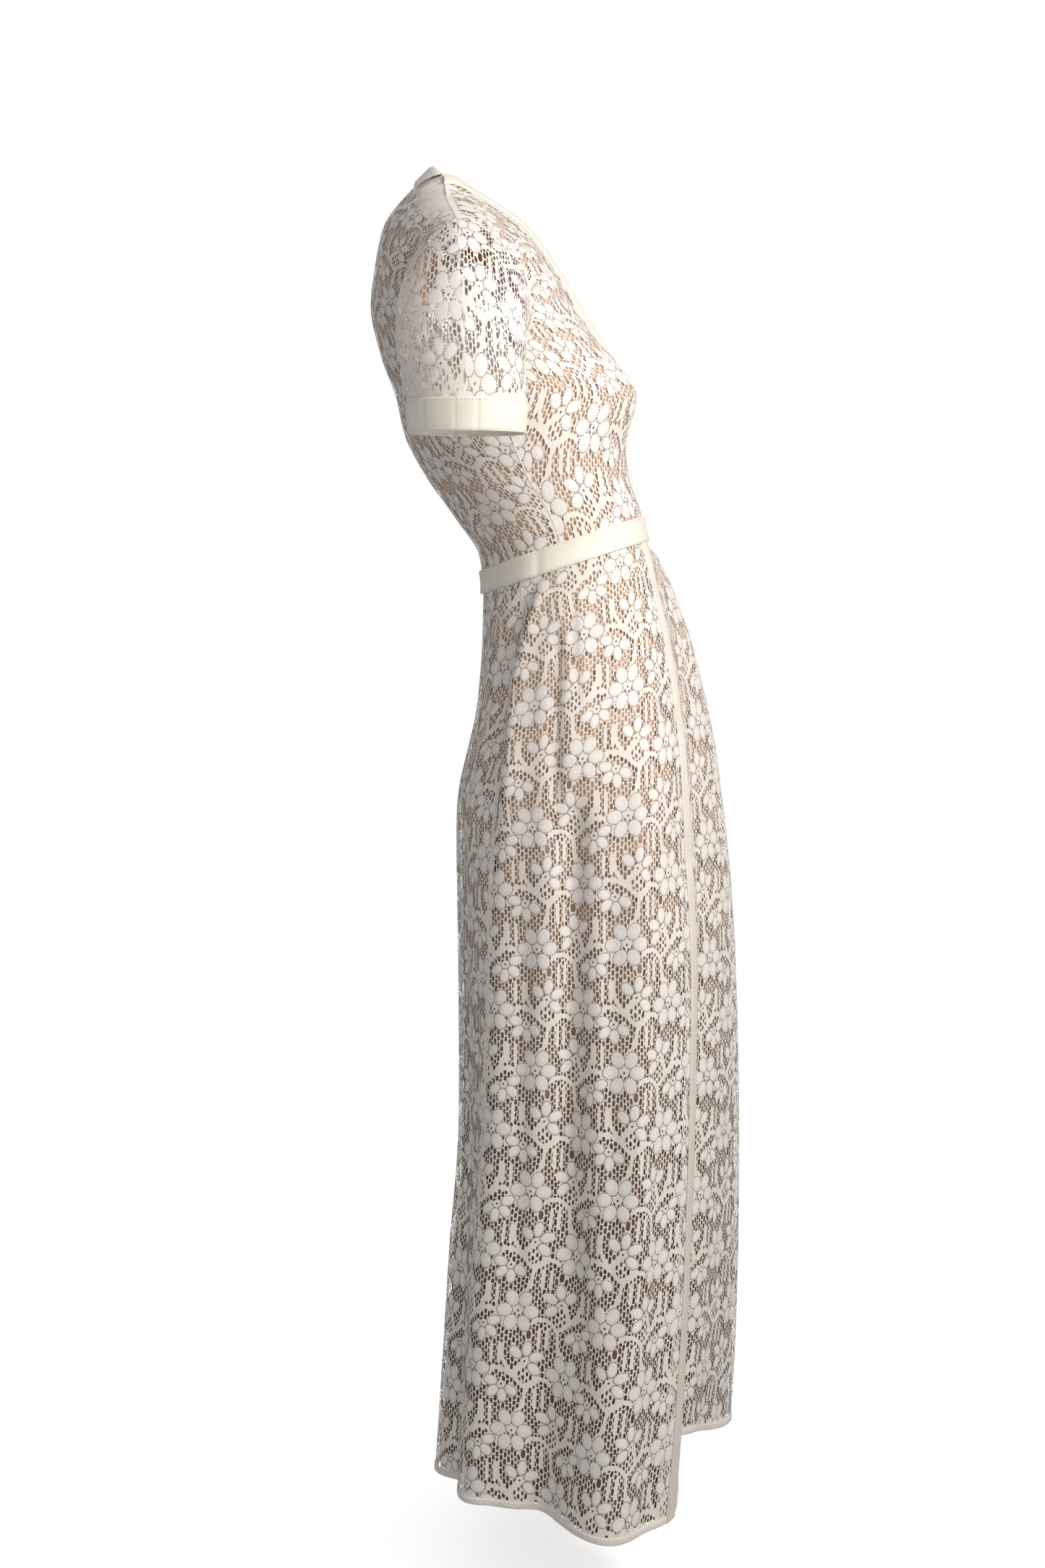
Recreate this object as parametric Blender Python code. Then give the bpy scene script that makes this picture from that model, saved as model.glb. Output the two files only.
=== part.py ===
"""Lace maxi dress with short sleeves, a V neck, plain bands and a lining, as it hangs when worn.

The front faces -Y, the wearer's right is -X, +Z is up, and the origin lies between the two neck
points of the shoulders, where the wearer holds the dress up. Lengths are in metres. Every cloth
piece is a wall between two grids of points, worked out from the tables below. An azimuth is
measured round the body from the front, positive toward the wearer's right.
"""
import math

import bmesh
import bpy
import numpy as np

MM = 0.001
COLLECTION = "lace_maxi_dress"

# Cloth and seams
LACE_THICKNESS = 1.2 * MM
LINING_THICKNESS = 1.0 * MM
BAND_THICKNESS = 1.4 * MM
SEAM_GAP = 0.3 * MM
BAND_CLEARANCE = 0.5 * MM
WAISTBAND_CLEARANCE = 0.9 * MM
BODICE_LINING_DEPTH = 2.6 * MM
NECK_BAND_CLEARANCE = 0.9 * MM
SKIRT_LINING_DEPTH = 5.5 * MM
LINING_TRIM = 5.0 * MM
LINING_SIDE_TRIM = 8.0 * MM
SHARED_NORMAL_COSINE = 0.4

# Bands
NECK_BAND_WIDTH = 17 * MM
CUFF_HEIGHT = 31 * MM
WAISTBAND_HEIGHT = 25 * MM
RIBBON_WIDTH = 17 * MM
STRIP_LARGEST_SHARE = 0.94

# The lace repeat: two mirrored columns, the second one half a period lower
LACE_COLUMN = 50 * MM
LACE_PERIOD = 125 * MM
HOLE_WIDTH = 5.0 * MM
HOLE_HEIGHT = 7.5 * MM
HOLE_CORNER = 0.28
HOLE_MARGIN = 2.5 * MM
HOLE_TWIST = 4.0 * MM
HOLE_IN_COLUMN = 14 * MM
HOLE_DOWN_PERIOD = 49.8 * MM

# Waist ring, in a plane that drops toward the back
WAIST_SEAM_HEIGHT = -0.3715
WAIST_DROP_PER_DEPTH = 0.333
SECTION_POWER = 2.3
WAIST_HALF_AXES = (0.0820, 0.0840, 0.1200)

# Torso sections from the waist up. front and back are the Y of the centre lines, side the half width
TORSO_COLUMNS = ("height", "middle", "front", "back", "side")
TORSO = (
    (-0.410, 0.002, -0.0800, 0.0840, 0.1200),
    (-0.372, 0.003, -0.0800, 0.0890, 0.1195),
    (-0.335, 0.015, -0.0780, 0.1120, 0.1210),
    (-0.292, 0.040, -0.0660, 0.1420, 0.1280),
    (-0.250, 0.056, -0.0600, 0.1640, 0.1380),
    (-0.208, 0.064, -0.0550, 0.1740, 0.1470),
    (-0.170, 0.076, -0.0430, 0.1880, 0.1540),
    (-0.120, 0.094, -0.0150, 0.1985, 0.1680),
    (-0.082, 0.104, 0.0080, 0.1940, 0.1780),
    (-0.040, 0.112, 0.0420, 0.1840, 0.1850),
    (0.000, 0.118, 0.0880, 0.1600, 0.1900),
    (0.030, 0.122, 0.1150, 0.1330, 0.1900),
)

# Bust
BUST_SIDE = 0.072
BUST_HEIGHT = -0.208
BUST_SPREAD = 0.046
BUST_DEPTH = 0.026
BUST_EDGE_POWER = 6

# Shoulder line from the middle of the back neck to the sleeve tip
SHOULDER_COLUMNS = ("side", "depth", "height")
SHOULDER_LINE = (
    (0.000, 0.136, 0.020),
    (0.035, 0.132, 0.018),
    (0.065, 0.122, 0.005),
    (0.084, 0.1200, -0.009),
    (0.115, 0.117, -0.024),
    (0.165, 0.106, -0.050),
)
NECK_POINT_SIDE = 0.065
SHOULDER_TIP_SIDE = 0.165
SHOULDER_ROUNDING = 0.060
BACK_SLOPE_AT_TIP = 0.085
CHEST_LEAN = 0.008

# Neckline and armhole
V_BOTTOM_HEIGHT = -0.222
UNDERARM_HEIGHT = -0.178
ARMHOLE_INSET = 0.008
ARMHOLE_POWER = 0.8
V_BOTTOM_ROW = 0.42
UNDERARM_ROW = 0.5
NECKLINE_POWER = 1.05
FLATTER_FROM_ROW = 0.35
FLATTER_OVER_ROWS = 0.5
SHOULDER_ROW_POWER = 6

# Bodice grid: its rows below and above the underarm, and its columns on one front and half the neck
ROWS_BELOW_UNDERARM = 6
ROWS_ABOVE_UNDERARM = 8
FRONT_COLUMNS = 7
NECK_COLUMNS = 2
WAIST_LEAD = 0.3
BAND_ROW = 0.045
CENTRE_FRONT_BLEND = 20 * MM
NORMAL_STEP = 0.012
NECK_BAND_GUESS = 0.1
NECK_BAND_STEPS = 6
BAND_TOP_SAMPLES = 61
MITRE_LEAST = 0.6

# Sleeve: an ellipse at the cuff seam, lofted from the armhole
CUFF_SIDE = 0.232
CUFF_DEPTH = 0.0955
CUFF_SEAM_HEIGHT = -0.229
CUFF_HALF_SIDE = 0.052
CUFF_HALF_DEPTH = 0.0570
SLEEVE_BACK_FULLNESS = 0.014
SLEEVE_CAP_REACH = 0.050
SLEEVE_DROP_REACH = 0.070
SLEEVE_ROWS = 5
CUFF_TAPER = 0.97
SLEEVE_UNDER_PULL = 0.35
SLEEVE_TIP_FALL = 0.2

# Skirt sections. front, back and side are distances from the axis, before the folds
SKIRT_COLUMNS = ("height", "front", "back", "side", "edge_azimuth")
SKIRT = (
    (-0.3715, 0.0820, 0.0840, 0.1200, 31.0),
    (-0.430, 0.0985, 0.0850, 0.1390, 32.0),
    (-0.500, 0.1165, 0.0900, 0.1560, 33.0),
    (-0.620, 0.1370, 0.1120, 0.1700, 35.5),
    (-0.800, 0.1500, 0.1080, 0.1740, 38.0),
    (-0.950, 0.1520, 0.1060, 0.1740, 41.0),
    (-1.100, 0.1500, 0.1150, 0.1760, 45.0),
    (-1.250, 0.1440, 0.1220, 0.1780, 50.0),
    (-1.330, 0.1380, 0.1260, 0.1780, 53.0),
)
HEM_HEIGHT = -1.330
LINING_HEM_HEIGHT = -1.300

# Skirt folds: ridges stand out and troughs lie in. Azimuths and spreads are in degrees
# name, top_azimuth, hem_azimuth, spread, out_at_hem, top_height, growth
FOLDS = (
    ("left front ridge", -22.0, -35.0, 21.0, 0.070, -0.39, 0.45),
    ("front valley", 6.0, 24.0, 12.0, -0.042, -0.45, 0.85),
    ("ribbon ridge", 38.0, 56.0, 9.0, 0.015, -0.70, 0.6),
    ("right front ridge", 52.0, 79.0, 12.0, 0.040, -0.50, 1.2),
    ("pleat under the band", 100.0, 116.0, 7.0, -0.010, -0.38, 0.35),
    ("right side trough", 88.0, 99.0, 10.0, -0.030, -0.62, 1.1),
    ("right side ridge", 108.0, 124.0, 11.0, 0.014, -0.50, 0.9),
    ("right back trough", 138.0, 148.0, 10.0, -0.012, -0.55, 1.0),
    ("back ridge", 165.0, 172.0, 12.0, 0.010, -0.60, 1.0),
    ("left back trough", -158.0, -154.0, 12.0, -0.014, -0.50, 0.9),
    ("left back ridge", -132.0, -128.0, 13.0, 0.022, -0.45, 0.9),
    ("left side trough", -104.0, -103.0, 11.0, -0.016, -0.45, 0.9),
    ("left side ridge", -80.0, -78.0, 13.0, 0.020, -0.50, 1.0),
    ("left front trough", -57.0, -60.0, 10.0, -0.014, -0.60, 1.0),
)

# The hem hangs lower on the right front and higher where the left leg of the wearer lifts it
# azimuth, drop
HEM_DROP_SPREAD = 28.0
HEM_DROPS = ((70.0, 0.015), (115.0, -0.008), (180.0, 0.000), (-90.0, -0.002), (-35.0, -0.012), (15.0, -0.040))

# Skirt grid
SKIRT_ROWS = 15
SKIRT_PANEL_COLUMNS = 10
LINING_FINE_ROWS = 5
LINING_FADE_LEVEL = 0.15
RING_SAMPLES = 1440

COLOURS = {
    "lace": (0.86, 0.82, 0.78, 1.0),
    "lining": (0.80, 0.58, 0.42, 1.0),
    "band": (0.90, 0.84, 0.74, 1.0),
}
ROUGHNESS = {"lace": 0.9, "lining": 0.7, "band": 0.6}


def column(table, names, wanted):
    """One named column of a table."""
    place = names.index(wanted)
    return np.array([row[place] for row in table], dtype=float)


def smooth_curve(places, values, wanted):
    """A smooth curve through the values, with slopes that never overshoot between two of them."""
    order = np.argsort(places)
    places = np.asarray(places, float)[order]
    values = np.asarray(values, float)[order]
    steps = np.diff(places)
    slopes = np.diff(values) / steps
    tangents = np.zeros(len(places))
    tangents[0] = slopes[0]
    tangents[-1] = slopes[-1]
    for index in range(1, len(places) - 1):
        before, after = slopes[index - 1], slopes[index]
        if before * after > 0:
            tangents[index] = 2 * before * after / (before + after)
    wanted = np.clip(wanted, places[0], places[-1])
    cell = np.clip(np.searchsorted(places, wanted) - 1, 0, len(steps) - 1)
    part = (wanted - places[cell]) / steps[cell]
    rest = 1 - part
    return (
        values[cell] * (1 + 2 * part) * rest**2
        + values[cell + 1] * part**2 * (3 - 2 * part)
        + tangents[cell] * steps[cell] * part * rest**2
        - tangents[cell + 1] * steps[cell] * part**2 * rest
    )


def unit(vectors):
    """Vectors of length one."""
    return vectors / np.maximum(np.linalg.norm(vectors, axis=-1, keepdims=True), 1e-12)


def torso(name, height):
    """One measure of the torso at a height."""
    return smooth_curve(column(TORSO, TORSO_COLUMNS, "height"), column(TORSO, TORSO_COLUMNS, name), height)


def shoulder(name, side):
    """Depth or height of the shoulder line at a distance from the middle."""
    places = column(SHOULDER_LINE, SHOULDER_COLUMNS, "side")
    return smooth_curve(places, column(SHOULDER_LINE, SHOULDER_COLUMNS, name), np.abs(side))


def waist_height(depth):
    """Height of the waist seam, which is higher at the front."""
    return WAIST_SEAM_HEIGHT - WAIST_DROP_PER_DEPTH * depth


def torso_depth(side, height, facing):
    """Y of the worn cloth at a place of the front (facing -1) or the back (facing 1)."""
    middle = torso("middle", height)
    reach = torso("front" if facing < 0 else "back", height) - middle
    across = np.clip(np.abs(side) / torso("side", height), 0, 1)
    depth = middle + reach * (1 - across**SECTION_POWER) ** (1 / SECTION_POWER)
    if facing < 0:
        spot = ((np.abs(side) - BUST_SIDE) / BUST_SPREAD) ** 2 + ((height - BUST_HEIGHT) / BUST_SPREAD) ** 2
        depth = depth - BUST_DEPTH * np.exp(-spot) * (1 - across**BUST_EDGE_POWER)
    slope = BACK_SLOPE_AT_TIP * (np.abs(side) / SHOULDER_TIP_SIDE) ** 3 if facing > 0 else 0.0
    below = np.clip((shoulder("height", side) - height) / (SHOULDER_ROUNDING + slope), 0, 1)
    rounding = np.sqrt(1 - (1 - below) ** 2)
    return shoulder("depth", side) * (1 - rounding) + depth * rounding


def bodice_rows():
    """Row places from 0 at the waist to 1 at the shoulder, with the underarm on a row."""
    below = np.linspace(BAND_ROW, UNDERARM_ROW, ROWS_BELOW_UNDERARM)
    above = np.linspace(UNDERARM_ROW, 1, ROWS_ABOVE_UNDERARM + 1)[1:]
    return np.concatenate([[0.0], below, above])


def side_edge(row):
    """Side and height of the side seam below the underarm and of the armhole above it."""
    waist = waist_height(torso("middle", WAIST_SEAM_HEIGHT))
    tip = shoulder("height", SHOULDER_TIP_SIDE)
    low = np.clip(row / UNDERARM_ROW, 0, 1)
    high = np.clip((row - UNDERARM_ROW) / (1 - UNDERARM_ROW), 0, 1)
    height = waist + (UNDERARM_HEIGHT - waist) * low + (tip - UNDERARM_HEIGHT) * high
    seam = torso("side", height)
    underarm = torso("side", UNDERARM_HEIGHT)
    armhole = underarm + (SHOULDER_TIP_SIDE - underarm) * high
    armhole = armhole - ARMHOLE_INSET * np.sin(math.pi * high) ** ARMHOLE_POWER
    return np.where(row > UNDERARM_ROW, armhole, seam), height


def front_edge(row):
    """Side and height of the centre front below the V and of the neckline above it."""
    waist = waist_height(torso("front", WAIST_SEAM_HEIGHT))
    neck = shoulder("height", NECK_POINT_SIDE)
    low = np.clip(row / V_BOTTOM_ROW, 0, 1)
    high = np.clip((row - V_BOTTOM_ROW) / (1 - V_BOTTOM_ROW), 0, 1)
    height = waist + (V_BOTTOM_HEIGHT - waist) * low + (neck - V_BOTTOM_HEIGHT) * high
    return NECK_POINT_SIDE * high**NECKLINE_POWER, height


def back_edge(row):
    """Side and height of the centre back."""
    waist = waist_height(torso("back", WAIST_SEAM_HEIGHT))
    return np.zeros_like(row), waist + (shoulder("height", 0.0) - waist) * row


def torso_point(row, part, facing):
    """Worn cloth of the wearer's right half: row runs up, part runs from the middle to the side."""
    inner_side, inner_height = (front_edge if facing < 0 else back_edge)(row)
    outer_side, outer_height = side_edge(row)
    flat = np.clip((row - FLATTER_FROM_ROW) / FLATTER_OVER_ROWS, 0, 1)
    share = np.sin(part * math.pi / 2) * (1 - flat) + part * flat
    side = inner_side + (outer_side - inner_side) * share
    height = inner_height + (outer_height - inner_height) * part
    height = height + (shoulder("height", side) - height) * row**SHOULDER_ROW_POWER
    wider = torso("side", height) - torso("side", outer_height)
    side = side + wider * share * (1 - np.clip((row - 0.5) / 0.1, 0, 1))
    depth = torso_depth(side, height, facing)
    if facing < 0:
        lean = np.clip((row - 0.42) / 0.15, 0, 1) * np.clip((1 - row) / 0.35, 0, 1) ** 2 * (1 - part)
        depth = depth + CHEST_LEAN * lean * (1 - np.exp(-(((side - inner_side) / 0.016) ** 2)))
    return np.stack([-side, depth, height], axis=-1)


def bodice_form(row, part, facing):
    """The torso's cloth, led at its lowest rows onto the waist ring."""
    waist = torso_point(np.zeros_like(row), part, facing)
    ring_x, ring_y = section(np.arctan2(-waist[..., 0], -waist[..., 1]), *WAIST_HALF_AXES)
    seat = np.stack([ring_x, ring_y, waist_height(ring_y)], axis=-1)
    low = np.clip(1 - row / WAIST_LEAD, 0, 1) ** 2
    return torso_point(row, part, facing) + (seat - waist) * low[..., None]


def section(azimuth, front, back, side):
    """X and Y of a rounded section at an azimuth from the front toward the wearer's right."""
    sine, cosine = np.sin(azimuth), np.cos(azimuth)
    long_way = np.where(cosine > 0, front, back)
    reach = np.abs(sine / side) ** SECTION_POWER + np.abs(cosine / long_way) ** SECTION_POWER
    radius = reach ** (-1 / SECTION_POWER)
    return -radius * sine, -radius * cosine


def angle_between(first, second):
    """Difference of two azimuths in degrees, between -180 and 180."""
    return (first - second + 180) % 360 - 180


def hem_drop(azimuth):
    """How much lower the hem hangs at an azimuth, by a soft weight of the named places."""
    total = np.zeros_like(azimuth)
    weights = np.zeros_like(azimuth)
    for place, drop in HEM_DROPS:
        weight = np.exp(-((angle_between(azimuth, place) / HEM_DROP_SPREAD) ** 2)) + 1e-4
        total = total + weight * drop
        weights = weights + weight
    return total / weights


def skirt_ring(level):
    """Azimuths and points of one skirt section, level 0 at the waist seam and 1 at the hem."""
    height = WAIST_SEAM_HEIGHT + (HEM_HEIGHT - WAIST_SEAM_HEIGHT) * level
    heights = column(SKIRT, SKIRT_COLUMNS, "height")
    front, back, side = (
        smooth_curve(heights, column(SKIRT, SKIRT_COLUMNS, name), height)
        for name in ("front", "back", "side")
    )
    azimuth = np.linspace(-180, 180, RING_SAMPLES + 1)
    x, y = section(np.radians(azimuth), front, back, side)
    radius = np.hypot(x, y)
    swell = np.zeros_like(azimuth)
    for _, top_azimuth, hem_azimuth, spread, out_at_hem, top_height, growth in FOLDS:
        share = max(0.0, (top_height - height) / (top_height - HEM_HEIGHT))
        place = top_azimuth + (hem_azimuth - top_azimuth) * level
        swell = swell + out_at_hem * share**growth * np.exp(-((angle_between(azimuth, place) / spread) ** 2))
    scale = (radius + swell) / radius
    x, y = x * scale, y * scale
    z = height - WAIST_DROP_PER_DEPTH * y * (1 - level) ** 3 - hem_drop(azimuth) * level**3
    return azimuth, np.stack([x, y, z], axis=-1)


def edge_azimuth(level):
    """Azimuth of the right front edge of the skirt."""
    height = WAIST_SEAM_HEIGHT + (HEM_HEIGHT - WAIST_SEAM_HEIGHT) * level
    heights = column(SKIRT, SKIRT_COLUMNS, "height")
    return smooth_curve(heights, column(SKIRT, SKIRT_COLUMNS, "edge_azimuth"), height)


def ring_lengths(points):
    """Length along a ring up to each of its points."""
    steps = np.linalg.norm(np.diff(points, axis=0), axis=1)
    return np.concatenate([[0], np.cumsum(steps)])


def skirt_row(level, shares):
    """Points and directions along the ring at shares of its length, from the right front edge."""
    azimuth, points = skirt_ring(level)
    lengths = ring_lengths(points)
    total = lengths[-1]
    start = np.interp(edge_azimuth(level), azimuth, lengths)
    places = (start + shares * total) % total
    spots = np.stack([np.interp(places, lengths, points[:, axis]) for axis in range(3)], axis=-1)
    along = np.gradient(points[:-1], axis=0)
    along[0] = points[1] - points[-2]
    along[-1] = along[0] * 0.5 + along[-2] * 0.5
    along = np.vstack([along, along[:1]])
    tangents = np.stack([np.interp(places, lengths, along[:, axis]) for axis in range(3)], axis=-1)
    return spots, unit(tangents)


def skirt_grid(levels, shares):
    """Points and outward normals of a stretch of the skirt."""
    rows = []
    tangents = []
    for level in levels:
        spots, along = skirt_row(level, shares)
        rows.append(spots)
        tangents.append(along)
    points = np.array(rows)
    along = np.array(tangents)
    down = np.gradient(points, axis=0)
    normals = unit(np.cross(down, along))
    outward = points * np.array([1.0, 1.0, 0.0])
    flip = np.where((normals * outward).sum(axis=-1, keepdims=True) < 0, -1.0, 1.0)
    return points, normals * flip


def front_places():
    """Row and part of each grid point of a front. Its first column is as wide as the neck binding."""
    rows = bodice_rows()
    first = np.full(len(rows), NECK_BAND_GUESS)
    for _ in range(NECK_BAND_STEPS):
        step = bodice_form(rows, first, -1) - bodice_form(rows, np.zeros_like(rows), -1)
        width = np.linalg.norm(step, axis=-1)
        first = first * NECK_BAND_WIDTH / width
    spread = np.linspace(0, 1, FRONT_COLUMNS)
    parts = np.concatenate([np.zeros((len(rows), 1)), first[:, None] + (1 - first[:, None]) * spread], axis=1)
    return np.repeat(rows[:, None], FRONT_COLUMNS + 1, axis=1), parts


def back_places(shoulder_parts):
    """Row and part of each grid point of half the back. Its top row is as high as the neck binding."""
    neck = NECK_POINT_SIDE / SHOULDER_TIP_SIDE
    parts = np.concatenate([np.linspace(0, neck, NECK_COLUMNS + 1), neck + (1 - neck) * shoulder_parts[1:]])
    rows = np.repeat(bodice_rows()[:, None], len(parts), axis=1)
    last = np.full(len(parts), NECK_BAND_GUESS)
    for _ in range(NECK_BAND_STEPS):
        step = bodice_form(np.ones_like(parts), parts, 1) - bodice_form(1 - last, parts, 1)
        height = np.linalg.norm(step, axis=-1)
        last = last * NECK_BAND_WIDTH / height
    rows[-2] = 1 - last
    return rows, np.repeat(parts[None, :], len(rows), axis=0)


def bodice_grid(row_places, part_places, facing):
    """Points and outward normals of a stretch of the right half of the bodice."""
    step = NORMAL_STEP
    points = bodice_form(row_places, part_places, facing)
    up = bodice_form(np.minimum(row_places + step, 1), part_places, facing) - bodice_form(
        np.maximum(row_places - step, 0), part_places, facing
    )
    over = bodice_form(row_places, np.minimum(part_places + step, 1), facing) - bodice_form(
        row_places, np.maximum(part_places - step, 0), facing
    )
    normals = unit(np.cross(over, up)) * facing
    turned = (normals[:, -1] * normals[:, -2]).sum(axis=-1, keepdims=True) < 0
    normals[:, -1] = np.where(turned, -normals[:, -1], normals[:, -1])
    return points, normals


def mirrored(points):
    """The same points on the other side of the body, with the columns in the same order."""
    return points * np.array([-1.0, 1.0, 1.0])


def trim(points, first_row=0.0, last_row=0.0, first_column=0.0, last_column=0.0):
    """Moves the edges of a grid inward by the given lengths."""
    points = points.copy()
    points[0] += unit(points[1] - points[0]) * first_row
    points[-1] += unit(points[-2] - points[-1]) * last_row
    points[:, 0] += unit(points[:, 1] - points[:, 0]) * first_column
    points[:, -1] += unit(points[:, -2] - points[:, -1]) * last_column
    return points


def inset_normals(points, normals, amount):
    """Normals for a grid whose edges are all trimmed by one length."""
    normals = normals.copy()
    for edge, beside in ((0, 1), (-1, -2)):
        for turn in (lambda grid: grid, lambda grid: grid.swapaxes(0, 1)):
            grid, facing = turn(points), turn(normals)
            share = amount / np.linalg.norm(grid[beside] - grid[edge], axis=-1, keepdims=True)
            facing[edge] = facing[edge] * (1 - share) + facing[beside] * share
    return unit(normals)


def hole_outline(left, right, low, high):
    """Six corners of an upright oval hole, as places within its cell."""
    middle = (left + right) / 2
    rise = (high - low) * HOLE_CORNER
    return (
        (left, low + rise),
        (left, high - rise),
        (middle, high),
        (right, high - rise),
        (right, low + rise),
        (middle, low),
    )


def cell_twist(points, row, cell):
    """How far a cell's diagonals pass each other at its middle."""
    one = points[row, cell] + points[row + 1, cell + 1]
    other = points[row + 1, cell] + points[row, cell + 1]
    return np.linalg.norm(one - other) / 2


def lace_holes(points, centre_column):
    """The cells that hold the largest gap of each lace motif, with the hole's outline in the cell."""
    rows, columns = points.shape[:2]
    middle = points[:, centre_column]
    down = np.concatenate([[0], np.cumsum(np.linalg.norm(np.diff(middle, axis=0), axis=1))])
    holes = {}
    for row in range(rows - 1):
        height = down[row + 1] - down[row]
        across = ring_lengths((points[row] + points[row + 1]) / 2)
        across = across - across[centre_column]
        first = int(math.floor(across[0] / LACE_COLUMN))
        last = int(math.ceil(across[-1] / LACE_COLUMN))
        for number in range(first, last + 1):
            odd = (number + 1) % 2
            centre = number * LACE_COLUMN + (LACE_COLUMN - HOLE_IN_COLUMN if odd else HOLE_IN_COLUMN)
            offset = HOLE_DOWN_PERIOD + odd * LACE_PERIOD / 2
            period = math.ceil((down[row] - offset) / LACE_PERIOD)
            drop = offset + period * LACE_PERIOD
            if not down[row] <= drop < down[row + 1]:
                continue
            cell = int(np.searchsorted(across, centre)) - 1
            if cell < 0 or cell >= columns - 1:
                continue
            width = across[cell + 1] - across[cell]
            half = HOLE_WIDTH / 2 / width
            tall = HOLE_HEIGHT / 2 / height
            side_room = half + HOLE_MARGIN / width
            end_room = tall + HOLE_MARGIN / height
            if side_room >= 0.5 or end_room >= 0.5:
                continue
            if cell_twist(points, row, cell) > HOLE_TWIST:
                continue
            place = np.clip((centre - across[cell]) / width, side_room, 1 - side_room)
            level = np.clip((drop - down[row]) / height, end_room, 1 - end_room)
            holes[(row, cell)] = hole_outline(place - half, place + half, level - tall, level + tall)
    return holes


def in_cell(points, row, cell, across, along):
    """A point on one of the two triangles of a grid cell."""
    start, end = points[row, cell], points[row + 1, cell + 1]
    if along >= across:
        corner = points[row + 1, cell]
        return start + (corner - start) * along + (end - corner) * across
    corner = points[row, cell + 1]
    return start + (corner - start) * across + (end - corner) * along


# How a cell's corners join its hole's six corners: one triangle on each side of the cell, then the fills
HOLE_TIPS = (1, 2, 4, 5)
HOLE_FILLS = ((0, 0, 1), (1, 1, 2), (2, 2, 3), (2, 3, 4), (3, 4, 5), (0, 5, 0))


def wall_mesh(name, outer, inner, holes, closed):
    """A closed wall between two grids, with its holes cut through. A closed grid joins its end columns."""
    rows, columns = outer.shape[:2]
    build = bmesh.new()
    sheets = [[[build.verts.new(point) for point in row] for row in grid] for grid in (outer, inner)]
    cells = columns if closed else columns - 1
    for row in range(rows - 1):
        for cell in range(cells):
            after = (cell + 1) % columns
            outline = holes.get((row, cell))
            rims = []
            for grid, sheet in zip((outer, inner), sheets):
                corners = [sheet[row][cell], sheet[row + 1][cell], sheet[row + 1][after], sheet[row][after]]
                if outline is None:
                    build.faces.new(corners[:3])
                    build.faces.new([corners[0], corners[2], corners[3]])
                    continue
                rim = [build.verts.new(in_cell(grid, row, cell, across, along)) for across, along in outline]
                rims.append(rim)
                for side, tip in enumerate(HOLE_TIPS):
                    build.faces.new([corners[side], corners[(side + 1) % 4], rim[tip]])
                for corner, first, second in HOLE_FILLS:
                    build.faces.new([corners[corner], rim[first], rim[second]])
            if rims:
                for index in range(6):
                    following = (index + 1) % 6
                    build.faces.new([rims[0][index], rims[0][following], rims[1][following], rims[1][index]])
    first, second = sheets
    for cell in range(cells):
        after = (cell + 1) % columns
        for row in (0, rows - 1):
            build.faces.new([first[row][cell], first[row][after], second[row][after], second[row][cell]])
    if not closed:
        for row in range(rows - 1):
            below = row + 1
            for edge in (0, columns - 1):
                build.faces.new([first[row][edge], first[below][edge], second[below][edge], second[row][edge]])
    bmesh.ops.recalc_face_normals(build, faces=build.faces)
    mesh = bpy.data.meshes.new(name)
    build.to_mesh(mesh)
    build.free()
    return mesh


def wall(name, outer, normals, thickness, material, holes=None, closed=False):
    """Adds one cloth piece: its outer points, and its inner points a thickness further in."""
    mesh = wall_mesh(name, outer, outer - normals * thickness, holes or {}, closed)
    mesh.materials.append(material)
    piece = bpy.data.objects.new(name, mesh)
    bpy.data.collections[COLLECTION].objects.link(piece)
    return piece


def material(name):
    """A plain cloth material."""
    made = bpy.data.materials.new(name)
    made.use_nodes = True
    shader = made.node_tree.nodes["Principled BSDF"]
    shader.inputs["Base Color"].default_value = COLOURS[name]
    shader.inputs["Roughness"].default_value = ROUGHNESS[name]
    shader.inputs["Metallic"].default_value = 0.0
    return made


def edge_strip(points, normals, width):
    """Points and normals of a strip that lies on the first column of a grid."""
    first, second = points[:, 0], points[:, 1]
    share = np.minimum(width / np.linalg.norm(second - first, axis=1, keepdims=True), STRIP_LARGEST_SHARE)
    far = first + (second - first) * share
    far_normals = unit(normals[:, 0] * (1 - share) + normals[:, 1] * share)
    return np.stack([first, far], axis=1), np.stack([normals[:, 0], far_normals], axis=1)


def mitre(first, second):
    """The normals two pieces take where they meet: a shared one, or their own across a sharp valley."""
    facing = (first * second).sum(axis=-1, keepdims=True)
    shared = unit(first + second)
    shared = shared / np.maximum((shared * first).sum(axis=-1, keepdims=True), MITRE_LEAST)
    is_shared = facing > SHARED_NORMAL_COSINE
    return np.where(is_shared, shared, first), np.where(is_shared, shared, second)


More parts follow.
